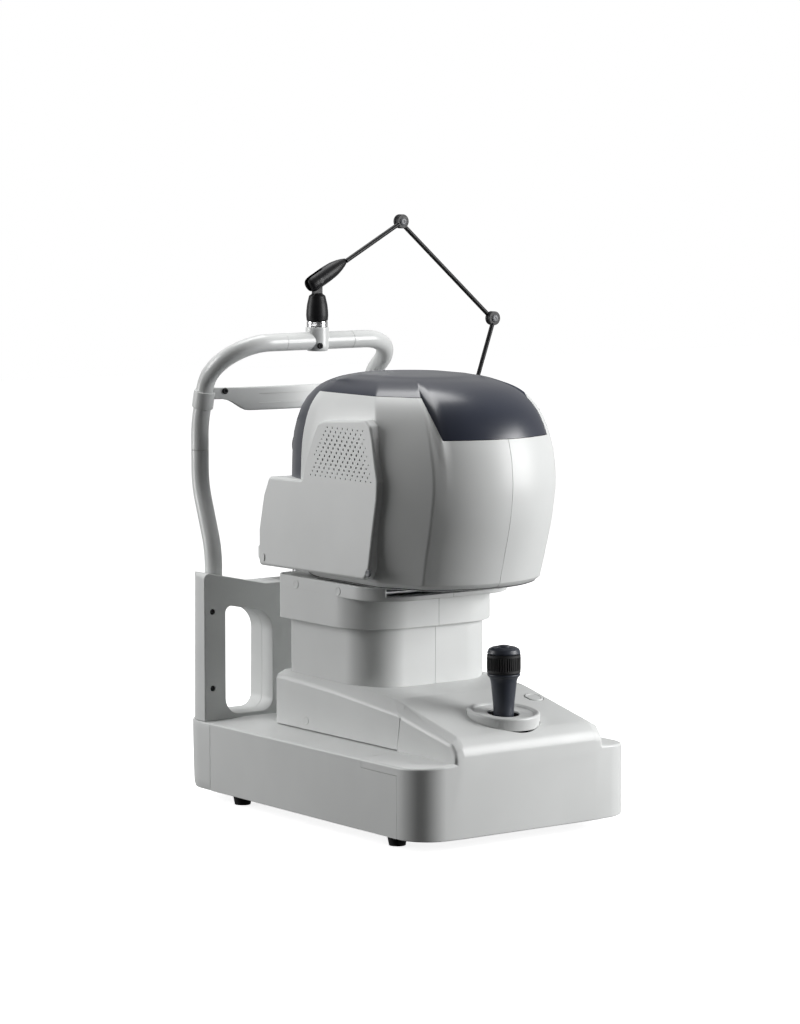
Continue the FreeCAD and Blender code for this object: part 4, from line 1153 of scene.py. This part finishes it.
def vent_holes():
    """Staggered round holes that shrink towards the field's rim, as one cutting mesh."""
    holes = []
    for row in range(VENT_ROWS):
        z = 364.0 + VENT_ROW_STEP * row
        k = row / (VENT_ROWS - 1)
        left = -90.0 + 14.0 * k
        right = 20.5 - 29.0 * k
        y = left + (VENT_STEP / 2 if row % 2 else 0.0)
        while y <= right:
            rim = min(y - left, right - y, z - 362.0, 418.5 - z)
            radius = 0.85 + 0.5 * min(max(rim / 14.0, 0.0), 1.0)
            bore = [(radius, -3.0), (radius, 6.0)]
            holes.append(lathe("hole", bore, (-111.0, y, z), (1, 0, 0), 16))
            y += VENT_STEP
    return joined("vent_holes", holes)


def make_lens():
    barrel = soften(
        [(0.0, 30.0), (22.0, 30.0), (22.0, 178.5), (19.5, 178.5), (19.5, 150.0), (0.0, 150.0)], 0.8
    )
    tube = lathe("barrel_skin", barrel, LENS_AXIS, (0, 1, 0), 64)
    ribs = [
        lathe(
            "rib", [(21.0, y), (22.25, y), (22.25, y + 1.2), (21.0, y + 1.2)], LENS_AXIS, (0, 1, 0), 64
        )
        for y in (146.0, 149.0, 152.0, 155.0)
    ]
    dress(joined("barrel_skin", [tube, *ribs]), "head", "black", ["lens_barrel"])
    front = [(19.3 * k, 172.0 + 3.2 * (1 - k * k)) for k in np.linspace(1, 0, 9)]
    lens = lathe("objective", [(0.0, 168.6), (19.3, 168.6)] + front, LENS_AXIS, (0, 1, 0), 64)
    dress(lens, "head", "lens", ["objective_lens"])


# ---------------------------------------------------------------- head rest


def frame_shape(name, low, high, seam):
    """One of the frame's two covers: posts, falling beam and middle tower round two openings."""
    right = [(FRAME_HALF, 87.4, 0), (FRAME_HALF, 248.0, 6), (60.0, 231.0, 14)]
    outline = rounded(right + [(-x, z, r) for x, z, r in reversed(right)], 8)
    item = prism(name, outline, "XZ", low, high)
    plan = [
        (-FRAME_HALF, 150, 0), (FRAME_HALF, 150, 0), (FRAME_HALF, FRAME_REAR, 33),
        (-FRAME_HALF, FRAME_REAR, 33),
    ]
    plan = rounded(plan, 14)
    item = combine(item, [prism("plan", plan, "XY", 60.0, 280.0)], "INTERSECT")
    cutters = []
    for side in (-1, 1):
        corners = [(51.0, 92.0, 14), (112.0, 92.0, 18), (112.0, 211.0, 7), (51.0, 199.0, 26)]
        hole = rounded([(side * x, z, r) for x, z, r in corners], 9)
        cutters.append(prism("window", hole, "XZ", low - 3, high + 3))
    item = carve(item, *cutters)
    outer = low if seam == high else high

    def radius(middle, along):
        if abs(middle.y - outer) < 0.1 and middle.z > 88.5:
            return 3.5
        return 0.5 if abs(middle.y - seam) < 0.1 and middle.z > 88.5 else 0.0

    item = round_edges(item, radius, 4)
    inner_low, inner_high = (low + WALL, high + 1) if seam == high else (low - 1, high - WALL)
    pockets = [block("tower", (-48.0, inner_low, 80.0), (48.0, inner_high, 226.0))]
    for side in (-1, 1):
        near, far = sorted((side * 115.5, side * 125.0))
        pocket_rear = min(inner_high, 207.0)
        pockets.append(block("post", (near, inner_low, 80.0), (far, pocket_rear, 240.0)))
        bore = [(TUBE_RADIUS + 0.3, 0.0), (TUBE_RADIUS + 0.3, 50.0)]
        pockets.append(lathe("tube_hole", bore, (side * UPRIGHT_X, 199.0, 214.0)))
    pockets.append(lathe("chin_hole", [(11.2, 0.0), (11.2, 40.0)], (0.0, FRAME_SEAM, 220.0)))
    item = carve(item, *pockets)
    for vert in item.data.vertices:
        y, z = vert.co.y / MM, vert.co.z / MM
        lean = FRAME_LEAN * max((z - 110.0) / 138.0, 0.0) ** 1.4
        share = 1 - lean / (FRAME_REAR - FRAME_FRONT)
        vert.co.y = (FRAME_FRONT + (y - FRAME_FRONT) * share) * MM
    return item


def make_frame():
    front = frame_shape("frame_front_skin", FRAME_FRONT, 195.2, 195.2)
    holes = []
    for x in (-129.0, 129.0):
        for z in (122.0, 205.0):
            holes.append(lathe("hole", [(3.3, -1.0), (3.3, 4.0)], (x, 173.0, z), (0, 1, 0), 20))
    front = carve(front, joined("holes", holes))
    front.name = "frame_front_skin"
    rear = frame_shape("frame_rear_skin", 195.6, FRAME_REAR, 195.6)
    rear.name = "frame_rear_skin"
    dress(front, "base", "shell", ["frame_front_cover"])
    dress(rear, "base", "shell", ["frame_rear_cover"])
    screws = []
    for x in (-129.0, 129.0):
        for z in (122.0, 205.0):
            dome = [(2.2, 1.6), (1.3, 1.6)]
            screws.append(screw_head("screw", 3.1, 1.0, dome, 0.9, 0.2, (x, 176.6, z), (0, -1, 0)))
    dress(joined("frame_screws", screws), "base", "matt_black")


def make_tubes():
    seam = 375.0
    uprights, arches = [], []
    for side in (-1, 1):
        x = side * UPRIGHT_X
        route = [(x, 199, 218.4, 0), (x, 199, 268, 100), (x, 224, 338, 100), (x, 224, seam - 0.25, 0)]
        uprights.append(sweep("upright", bent(route, 14), TUBE_RADIUS, 40))
        route = [
            (x, 224, seam + 0.25, 0), (x, 224, 402, 90), (x, 211, 452, 36),
            (x, ARCH_Y, ARCH_Z, 48), (side * 44.25, ARCH_Y, ARCH_Z, 0),
        ]
        arches.append(sweep("arch", bent(route, 16), TUBE_RADIUS, 40))
    dress(joined("upright_skin", uprights), "base", "paint", ["upright_tubes"])
    dress(joined("arch_skin", arches), "base", "paint", ["arch_tubes"])

    tube = lathe(
        "fitting_tube", [(9.3, -43.9), (9.5, -43.6), (9.5, 43.6), (9.3, 43.9)], ARCH_SPOT,
        (1, 0, 0), 48,
    )
    boss = [(0, -11), (11.2, -11), (12.6, -7), (12.6, 15), (0, 15)]
    boss = turned("boss", boss, 1.6, ARCH_SPOT, steps=48)
    fitting = merge(tube, boss)
    fitting.name = "arch_fitting_skin"

    def radius(middle, along):
        away = math.hypot(middle.x, middle.y - ARCH_Y)
        return 2.0 if away < 13.2 and abs(middle.z - ARCH_Z) < 9.0 and abs(middle.x) < 13 else 0.0

    fitting = round_edges(fitting, radius, 3)
    dress(fitting, "base", "paint", ["arch_fitting"], angle=40)
    outward = Vector((-0.35, -0.94, 0.0)).normalized()
    spot = Vector((0, ARCH_Y, ARCH_Z - 5.0)) + outward * 11.8
    dome = [(2.2, 1.6), (1.3, 1.6)]
    screw = screw_head("fitting_screw", 3.3, 1.0, dome, 0.8, 0.3, spot, outward)
    dress(screw, "base", "matt_black")
    ridges = [
        lathe("ridge", [(11.3, z), (11.55, z + 0.3), (11.3, z + 0.6)], ARCH_SPOT, steps=48)
        for z in (16.4, 17.8, 19.2)
    ]
    ring = turned("ring", [(0, 15), (11.3, 15), (11.3, 21), (0, 21)], 0.5, ARCH_SPOT, steps=64)
    ring = joined("lamp_ring_skin", [ring, *ridges])
    dress(ring, "base", "chrome", ["lamp_ring"])


# The forehead band: radius and centre of its bow, its two edges and how far the lower one rises
BAND_BOW, BAND_CENTRE_Y = 351.0, 545.0
BAND_LOW, BAND_HIGH, BAND_TAPER = 417.0, 443.0, 13.0


def make_band():
    lean = Vector((0, -13.0, 50.0)).normalized()
    clamps, screws = [], []
    for side in (-1, 1):
        spot = Vector((side * UPRIGHT_X, 220.6, 414.4))
        outer = soften([(9.55, 7.0), (11.6, 7.0), (11.6, 26.0), (9.55, 26.0)], 0.9)
        ring = lathe("clamp", outer + [outer[0]], spot, lean, 48)
        clamps.append(ring)
        angle = 0.262 * side
        middle = Vector((353.2 * math.sin(angle), BAND_CENTRE_Y - 353.2 * math.cos(angle), 439.0))
        outward = (math.sin(angle), -math.cos(angle), 0)
        dome = [(2.4, 2.0), (1.4, 2.0)]
        screws.append(screw_head("screw", 3.4, 1.2, dome, 1.0, 0.3, middle, outward))
    dress(joined("clamp_skin", clamps), "base", "shell", ["band_clamps"])
    dress(joined("clamp_screws", screws), "base", "matt_black")

    def bow(name, sections, half_angle, steps=40):
        """Sections of (radius from the bow's centre, z) carried round the bow."""
        rings = []
        for k in np.linspace(-half_angle, half_angle, steps + 1):
            taper = min(max((abs(k) / half - 0.62) / 0.28, 0.0), 1.0)
            rise = BAND_TAPER * taper * taper * (3 - 2 * taper)
            ring = []
            for r, z in sections:
                z += rise * (BAND_HIGH - z) / (BAND_HIGH - BAND_LOW)
                ring.append(Vector((r * math.sin(k), BAND_CENTRE_Y - r * math.cos(k), z)))
            rings.append(ring)
        return loft(name, rings)

    half = math.asin(103.0 / BAND_BOW)
    section = [
        (BAND_BOW - 2.5, BAND_LOW, 1.5), (BAND_BOW + 2.5, BAND_LOW, 2.2),
        (BAND_BOW + 2.5, BAND_HIGH, 2.2), (BAND_BOW - 2.5, BAND_HIGH, 1.5),
    ]
    section = rounded(section, 4)
    groove = rounded(
        [(352.2, 425.0, 0.3), (354.5, 425.0, 0.3), (354.5, 435.0, 0.3), (352.2, 435.0, 0.3)], 1
    )
    band = bow("band_skin", section, half)
    band = carve(band, bow("groove", groove, half * 0.5))
    band.name = "band_skin"
    dress(band, "base", "shell", ["forehead_band"], angle=30)

    pad_half = math.asin(62.0 / 346.0)
    rings = []
    for k in np.linspace(-1, 1, 33):
        fade = (1 - abs(k) ** 6) ** 0.5
        depth = 0.6 + 3.4 * max(fade, 0.05)
        height = 11.0 * (1 - 0.12 * abs(k) ** 8)
        ring = []
        for step in range(24):
            angle = math.tau * step / 24
            c, t = math.cos(angle), math.sin(angle)
            swell = math.copysign(abs(c) ** 0.55, c)
            lift = math.copysign(abs(t) ** 0.55, t)
            r = 348.4 - depth / 2 * (1 - swell)
            ring.append((r, 430.0 + height * lift))
        turn = pad_half * k
        across, ahead = math.sin(turn), math.cos(turn)
        rings.append([Vector((r * across, BAND_CENTRE_Y - r * ahead, z)) for r, z in ring])
    pad = loft("forehead_cushion", rings)
    dress(pad, "base", "pad", ["forehead_pad"], angle=60)


def make_chin_rest():
    bush = [(8.2, 207.0), (11.0, 207.0), (11.0, 231.0), (15.0, 231.0), (15.0, 234.0), (8.2, 234.0)]
    bush = turned("bush_skin", bush, 0.8, CHIN_AXIS)
    dress(bush, "base", "matt_black", ["chin_bush"])
    post = [(0, 146.0), (8.0, 146.0), (8.0, 250.2), (0, 250.2)]
    post = turned("chin_post_skin", post, 0.8, CHIN_AXIS)
    dress(post, "chin_rest", "steel", ["chin_post"])

    corners = [(-35, 182, 12), (35, 182, 12), (35, 234, 14), (-35, 234, 14)]
    tray = slab("chin_dish", rounded(corners, 8), "XY", 250.0, 266.0, 3.0, 2.0, 5)
    work = bmesh.new()
    bmesh.ops.create_uvsphere(work, u_segments=64, v_segments=48, radius=60.0 * MM)
    bmesh.ops.translate(work, verts=work.verts, vec=Vector((0, 212.0, 318.0)) * MM)
    bmesh.ops.scale(work, verts=work.verts, vec=(0.55, 1, 1))
    tray = carve(tray, finished("dish", work))
    tray.name = "chin_dish"
    trim_edges(tray, 0.8, 30, 3)
    bake(tray)
    dress(tray, "chin_rest", "shell", ["chin_cup"], angle=30)
    pin = [(0, 264.0), (1.5, 264.0), (1.5, 274.0), (0, 274.0)]
    pins = [turned("pin", pin, 0.5, (x, 188.0, 0), steps=16) for x in (-27.0, 27.0)]
    dress(joined("paper_pins", pins), "chin_rest", "steel")


# ---------------------------------------------------------------- joystick and buttons


def make_joystick():
    rim = soften(
        [(16.6, -3.4), (31.0, -2.7), (31.6, -1.6), (33.8, -0.3), (36.2, 0.0), (37.5, -1.4),
         (37.5, -13.5), (35.0, -13.5), (33.5, -5.0), (16.6, -5.0)], 0.9,
    )
    bezel = lathe("bezel_skin", rim + [rim[0]], BEZEL_SPOT, BEZEL_AXIS, 96)
    dress(bezel, "base", "shell", ["joystick_bezel"], angle=40)
    # painted shade: a near-black funnel round the stick stands for the shade in the opening under the
    # bezel
    well = [(16.8, -4.6), (27.0, -24.0), (28.0, -24.0), (17.8, -5.1)]
    well = lathe("stick_well_shade", well + [well[0]], BEZEL_SPOT, BEZEL_AXIS, 64)
    dress(well, "base", "gap_shade")

    at_stick = (0, STICK_Y, STICK_PIVOT)
    grip = soften(
        [(0, -20), (5, -20), (5, -10), (9, -6), (9, 6), (10.2, 14), (10.5, 29), (10.9, 36),
         (13.35, 60), (14.6, 64), (16.9, 66.2), (16.9, 68.2), (12, 68.4), (12, 88.3), (0, 88.3)], 1.2,
    )
    grip = lathe("grip_skin", grip, at_stick, steps=64)
    dress(grip, "joystick", "grip", ["joystick_stem"])
    cap = soften(
        [(6.7, 88.5), (17.0, 88.5), (17.0, 89.9), (15.6, 93.4), (12.6, 95.1), (9.0, 95.7),
         (6.8, 95.5), (6.7, 94.5)], 0.8,
    )
    cap = lathe("stick_cap_skin", cap + [cap[0]], at_stick, steps=64)
    dress(cap, "joystick", "grip", ["joystick_cap"])
    make_dial()
    knob = [(0, 90.6), (6.25, 90.6), (6.25, 96.2), (5.2, 97.0), (0, 96.7)]
    knob = turned("trigger_skin", knob, 0.6, at_stick, steps=40)
    dress(knob, "trigger", "grip", ["trigger_button"])

    button = [
        (0, -11.0), (9.7, -11.0), (9.7, 0.5), (9.0, 1.2), (7.4, 1.2), (7.1, 0.7), (6.7, 0.9), (0, 1.1),
    ]
    slope = Vector((0, -21.0, 88.0)).normalized()
    button = turned("start_skin", button, 0.3, (70, -128, 131.7), slope, steps=56)
    dress(button, "start", "paint", ["start_button"])


def make_dial():
    """The height dial: a ring with close upright ribs between two plain rims."""
    ribs, steps = 44, 44 * 4
    levels = [
        (12.1, 68.9, 0), (16.6, 68.9, 0), (17.2, 69.5, 0), (17.2, 71.6, 0), (17.35, 72.4, 1),
        (17.35, 84.6, 1), (17.2, 85.4, 0), (17.2, 87.3, 0), (16.6, 87.9, 0), (12.1, 87.9, 0),
    ]
    rings = []
    for radius, height, ribbed in levels:
        ring = []
        for i in range(steps):
            dip = 0.75 if ribbed and i % 4 in (2, 3) else 0.0
            angle = math.tau * i / steps
            ring.append(
                (Vector(((radius - dip) * math.cos(angle), (radius - dip) * math.sin(angle), height)))
                + Vector((0, STICK_Y, STICK_PIVOT))
            )
        rings.append(ring)
    rings.append(rings[0])
    dial = tidy_normals(loft("dial_skin", rings, (False, False)))
    dress(dial, "dial", "matt_black", ["height_dial"], angle=25)


# ---------------------------------------------------------------- lamp arm

CLIP_ANGLE = 28.8
ELBOW_1 = Vector((113.0, 0.0, 619.0))
ELBOW_2 = Vector((241.0, 0.0, 509.0))
LAMP = Vector((204.0, 0.0, 405.0))
FRONT_LEAF, REAR_LEAF = (157.0, 160.6), (161.4, 165.0)


def disc(spot, low, high, radius=7.75, axis=(0, 1, 0)):
    """A round eye with softened rims across the arm's plane."""
    profile = soften([(0, low), (radius, low), (radius, high), (0, high)], 0.6)
    return lathe("disc", profile, (spot.x, 0, spot.z), axis, 40)


def bar(a, b, y, trims, radius=2.4):
    """A thin rod between two pivots in the arm's plane."""
    start, stop = Vector((a.x, y, a.z)), Vector((b.x, y, b.z))
    along = (stop - start).normalized()
    length = (stop - start).length
    return lathe("bar", [(radius, trims[0]), (radius, length - trims[1])], start, along, 20)


def arm_screw(name, spot):
    """A domed screw head with a round socket on an elbow's near side."""
    dome = [(3.0, 1.7), (1.2, 1.8)]
    return screw_head(name, 4.3, 0.9, dome, 1.0, 0.25, (spot.x, 157.2, spot.z), (0, -1, 0), 28)


def make_arm():
    knuckle = Vector((0, 0, KNUCKLE_Z))
    socket = [
        (0, 0), (11.4, 0), (12.0, 6), (11.8, 11), (11.0, 18), (8.8, 27.4), (6.4, 28.8), (6.0, 29.8),
        (0, 29.8),
    ]
    post = turned("socket", socket, 1.0, (0, ARCH_Y, SOCKET_FOOT), steps=48)
    lug = disc(knuckle, ARCH_Y - 2.5, ARCH_Y + 2.5, 5.5)
    neck = block("neck", (-5.4, ARCH_Y - 2.5, SOCKET_FOOT + 26), (5.4, ARCH_Y + 2.5, KNUCKLE_Z))
    post = merge(post, lug, neck)
    post.name = "lamp_socket_skin"
    dress(post, "arm_swivel", "black", ["lamp_socket"])

    tilt = math.radians(CLIP_ANGLE)
    along = Vector((math.cos(tilt), 0, math.sin(tilt)))
    bullet = soften(
        [(0, -13), (6.4, -13), (8.2, -10.5), (8.8, -6), (8.8, 12), (8.6, 18), (8.0, 25), (6.6, 32),
         (4.6, 38.5), (3.0, 42.0), (2.4, 43.5), (0, 43.5)], 1.6,
    )
    clip = lathe("lamp_clip_skin", bullet, KNUCKLE_SPOT, along, 48)
    across = Vector((-along.z, 0, along.x))
    slot_points = [
        (knuckle + along * u + across * v + Vector((0, ARCH_Y + w, 0)))
        for u in (-30.0, 11.0) for v in (-20.0, 20.0) for w in (-2.95, 2.95)
    ]
    clip = carve(clip, hull("slot", slot_points))
    clip.name = "lamp_clip_skin"
    trim_edges(clip, 0.5)
    bake(clip)
    pin = [(0, -8.9), (3.0, -8.9), (3.0, 8.9), (0, 8.9)]
    pin = turned("pin", pin, 0.5, KNUCKLE_SPOT, (0, 1, 0), steps=24)
    clip = joined("lamp_clip_skin", [clip, pin])
    dress(clip, "arm_upper", "black", ["lamp_clip"])

    near, far = sum(FRONT_LEAF) / 2 - 0.2, sum(REAR_LEAF) / 2 + 0.2
    link = joined("link_1_skin", [bar(knuckle, ELBOW_1, near, (42.0, 6.0)), disc(ELBOW_1, *FRONT_LEAF)])
    dress(link, "arm_upper", "black", ["arm_link_1"])
    link = joined(
        "link_2_skin",
        [disc(ELBOW_1, *REAR_LEAF), bar(ELBOW_1, ELBOW_2, far, (6.0, 6.0)), disc(ELBOW_2, *REAR_LEAF)],
    )
    dress(link, "arm_middle", "black", ["arm_link_2"])
    link = joined("link_3_skin", [disc(ELBOW_2, *FRONT_LEAF), bar(ELBOW_2, LAMP, near, (6.0, 6.0))])
    dress(link, "arm_lower", "black", ["arm_link_3"])
    dress(arm_screw("elbow_screw_1", ELBOW_1), "arm_upper", "device")
    dress(arm_screw("elbow_screw_2", ELBOW_2), "arm_lower", "device")
    lamp = [(0, 150), (8.5, 150), (8.5, 172.5), (7.2, 174), (5.0, 174), (4.6, 172.5), (0, 172.2)]
    lamp = turned("lamp_skin", lamp, 0.8, (LAMP.x, 0, LAMP.z), (0, 1, 0), steps=40)
    dress(lamp, "arm_lower", "black", ["fixation_lamp"])


# ---------------------------------------------------------------- small marks and the CAD's own nodes


def make_caps():
    """Shallow round plugs over the screws in the collar and in the column's cover."""
    profile = [(0, -1.0), (4.6, -1.0), (4.6, 0.25), (4.0, 0.55), (3.4, 0.2), (0, 0.15)]
    for name, body, spots in (
        ("tray_plugs", "lift", [(96.0, 65.3, 243.6), (96.0, -10.5, 243.9)]),
        ("foot_plugs", "base", [(95.0, 49.0, 100.5)]),
    ):
        plugs = []
        for x, y, z in spots:
            for side in (-1, 1):
                plugs.append(turned("plug", profile, 0.2, (side * x, y, z), (side, 0, 0), steps=28))
        dress(joined(name, plugs), body, "shell")


KEPT_NODES = {
    "steel": ["guide_rods", "actuator_rod", "frame_posts", "gimbal_ring"],
    "casting": [
        "lift_carriage", "lift_platform", "cross_carriage", "optical_bench", "optics_housing",
        "gimbal_yoke",
    ],
    "device": ["base_pan", "lift_actuator", "power_supply", "chin_motor"],
    "matt_black": ["power_inlet", "switch_housing"],
    "shell": ["slide_deck"],
    "black": ["power_switch"],
    "board": ["main_board"],
}


def dress_kept_nodes():
    for look, names in KEPT_NODES.items():
        for name in names:
            dress_node(name, look, 0.6)


# ---------------------------------------------------------------- light, floor and camera


# The surroundings' strength on the camera's side and on the far side
NEAR_STRENGTH, FAR_STRENGTH = 0.04, 0.42
# Name, place, width and height in metres, and power in watts
LIGHT_BOXES = (
    ("right_box", (1.40, -1.50, 0.75), (1.1, 1.3), 50.0),
    ("left_box", (-1.54, 1.28, 0.75), (0.8, 1.3), 23.0),
    ("overhead", (0.0, 0.45, 1.85), (1.2, 0.9), 18.0),
)
LIGHT_AIM = (0.0, 0.0, 0.24)
FLOOR_HALF = 6000


def add_area(name, place, size, watts):
    """A rectangular light that looks at the middle of the instrument."""
    light = bpy.data.lights.new(name, "AREA")
    light.shape = "RECTANGLE"
    light.size, light.size_y = size
    light.energy = watts
    item = placed(name, light)
    item.location = place
    item.rotation_euler = (Vector(LIGHT_AIM) - Vector(place)).to_track_quat("-Z", "Y").to_euler()


def make_studio():
    """White surroundings, dimmer towards the camera's side, with soft boxes left, right and above."""
    world = bpy.data.worlds.new("studio")
    bpy.context.scene.world = world
    world.use_nodes = True
    tree = world.node_tree
    back = tree.nodes["Background"]
    back.inputs["Color"].default_value = (1.0, 1.0, 1.0, 1.0)
    place = add_node(tree, "TexCoord").outputs["Generated"]
    dot = tree.nodes.new("ShaderNodeVectorMath")
    dot.operation = "DOT_PRODUCT"
    dot.inputs[1].default_value = Vector((0.52, 0.70, 0.50)).normalized()
    tree.links.new(place, dot.inputs[0])
    fade = add_node(
        tree, "MapRange", Value=dot.outputs["Value"], From_Min=-0.35, From_Max=0.9,
        To_Min=NEAR_STRENGTH, To_Max=FAR_STRENGTH,
    )
    seen = add_node(tree, "LightPath").outputs["Is Camera Ray"]
    mix = add_node(tree, "Mix")
    mix.data_type = "FLOAT"
    tree.links.new(seen, mix.inputs["Factor"])
    tree.links.new(fade.outputs["Result"], mix.inputs["A"])
    mix.inputs["B"].default_value = 1.0
    tree.links.new(mix.outputs["Result"], back.inputs["Strength"])

    for box in LIGHT_BOXES:
        add_area(*box)

    corners = [(x * FLOOR_HALF, y * FLOOR_HALF, 0) for x, y in ((-1, -1), (1, -1), (1, 1), (-1, 1))]
    floor = piece_from("floor", corners, [(0, 1, 2, 3)])
    paint = Paint("pale_floor", Roughness=0.6, Emission_Color=(1, 1, 1, 1), Emission_Strength=0.85)
    paint.colour(paint.ramp(paint.noise(2.0, 2.0), (0.90, 0.90, 0.90), (0.93, 0.93, 0.93)))
    paint.bump((paint.noise(120.0, 3.0), 0.05, 0.05))
    floor.data.materials.append(paint.material)
    floor.visible_diffuse = False
    floor.visible_glossy = False


def make_camera():
    """The camera that the photograph was solved for."""
    lens = bpy.data.cameras.new("camera")
    lens.lens = 126.46
    lens.sensor_width = 36.0
    lens.clip_start, lens.clip_end = 0.1, 50.0
    item = placed("camera", lens)
    item.location = (-2.24886, -3.01261, 0.71503)
    item.rotation_euler = (math.radians(83.99), 0.0, math.radians(-36.64))
    bpy.context.scene.camera = item


make_camera()
make_studio()
for make in (
    make_front_cover, make_column_block, make_side_panels, make_rear_cover, make_feet, make_column,
    make_collar, make_head, make_side_shells, make_lens, make_frame, make_tubes, make_band,
    make_chin_rest, make_joystick, make_arm, make_caps, dress_kept_nodes,
):
    make()
bpy.context.scene.view_settings.view_transform = "Standard"
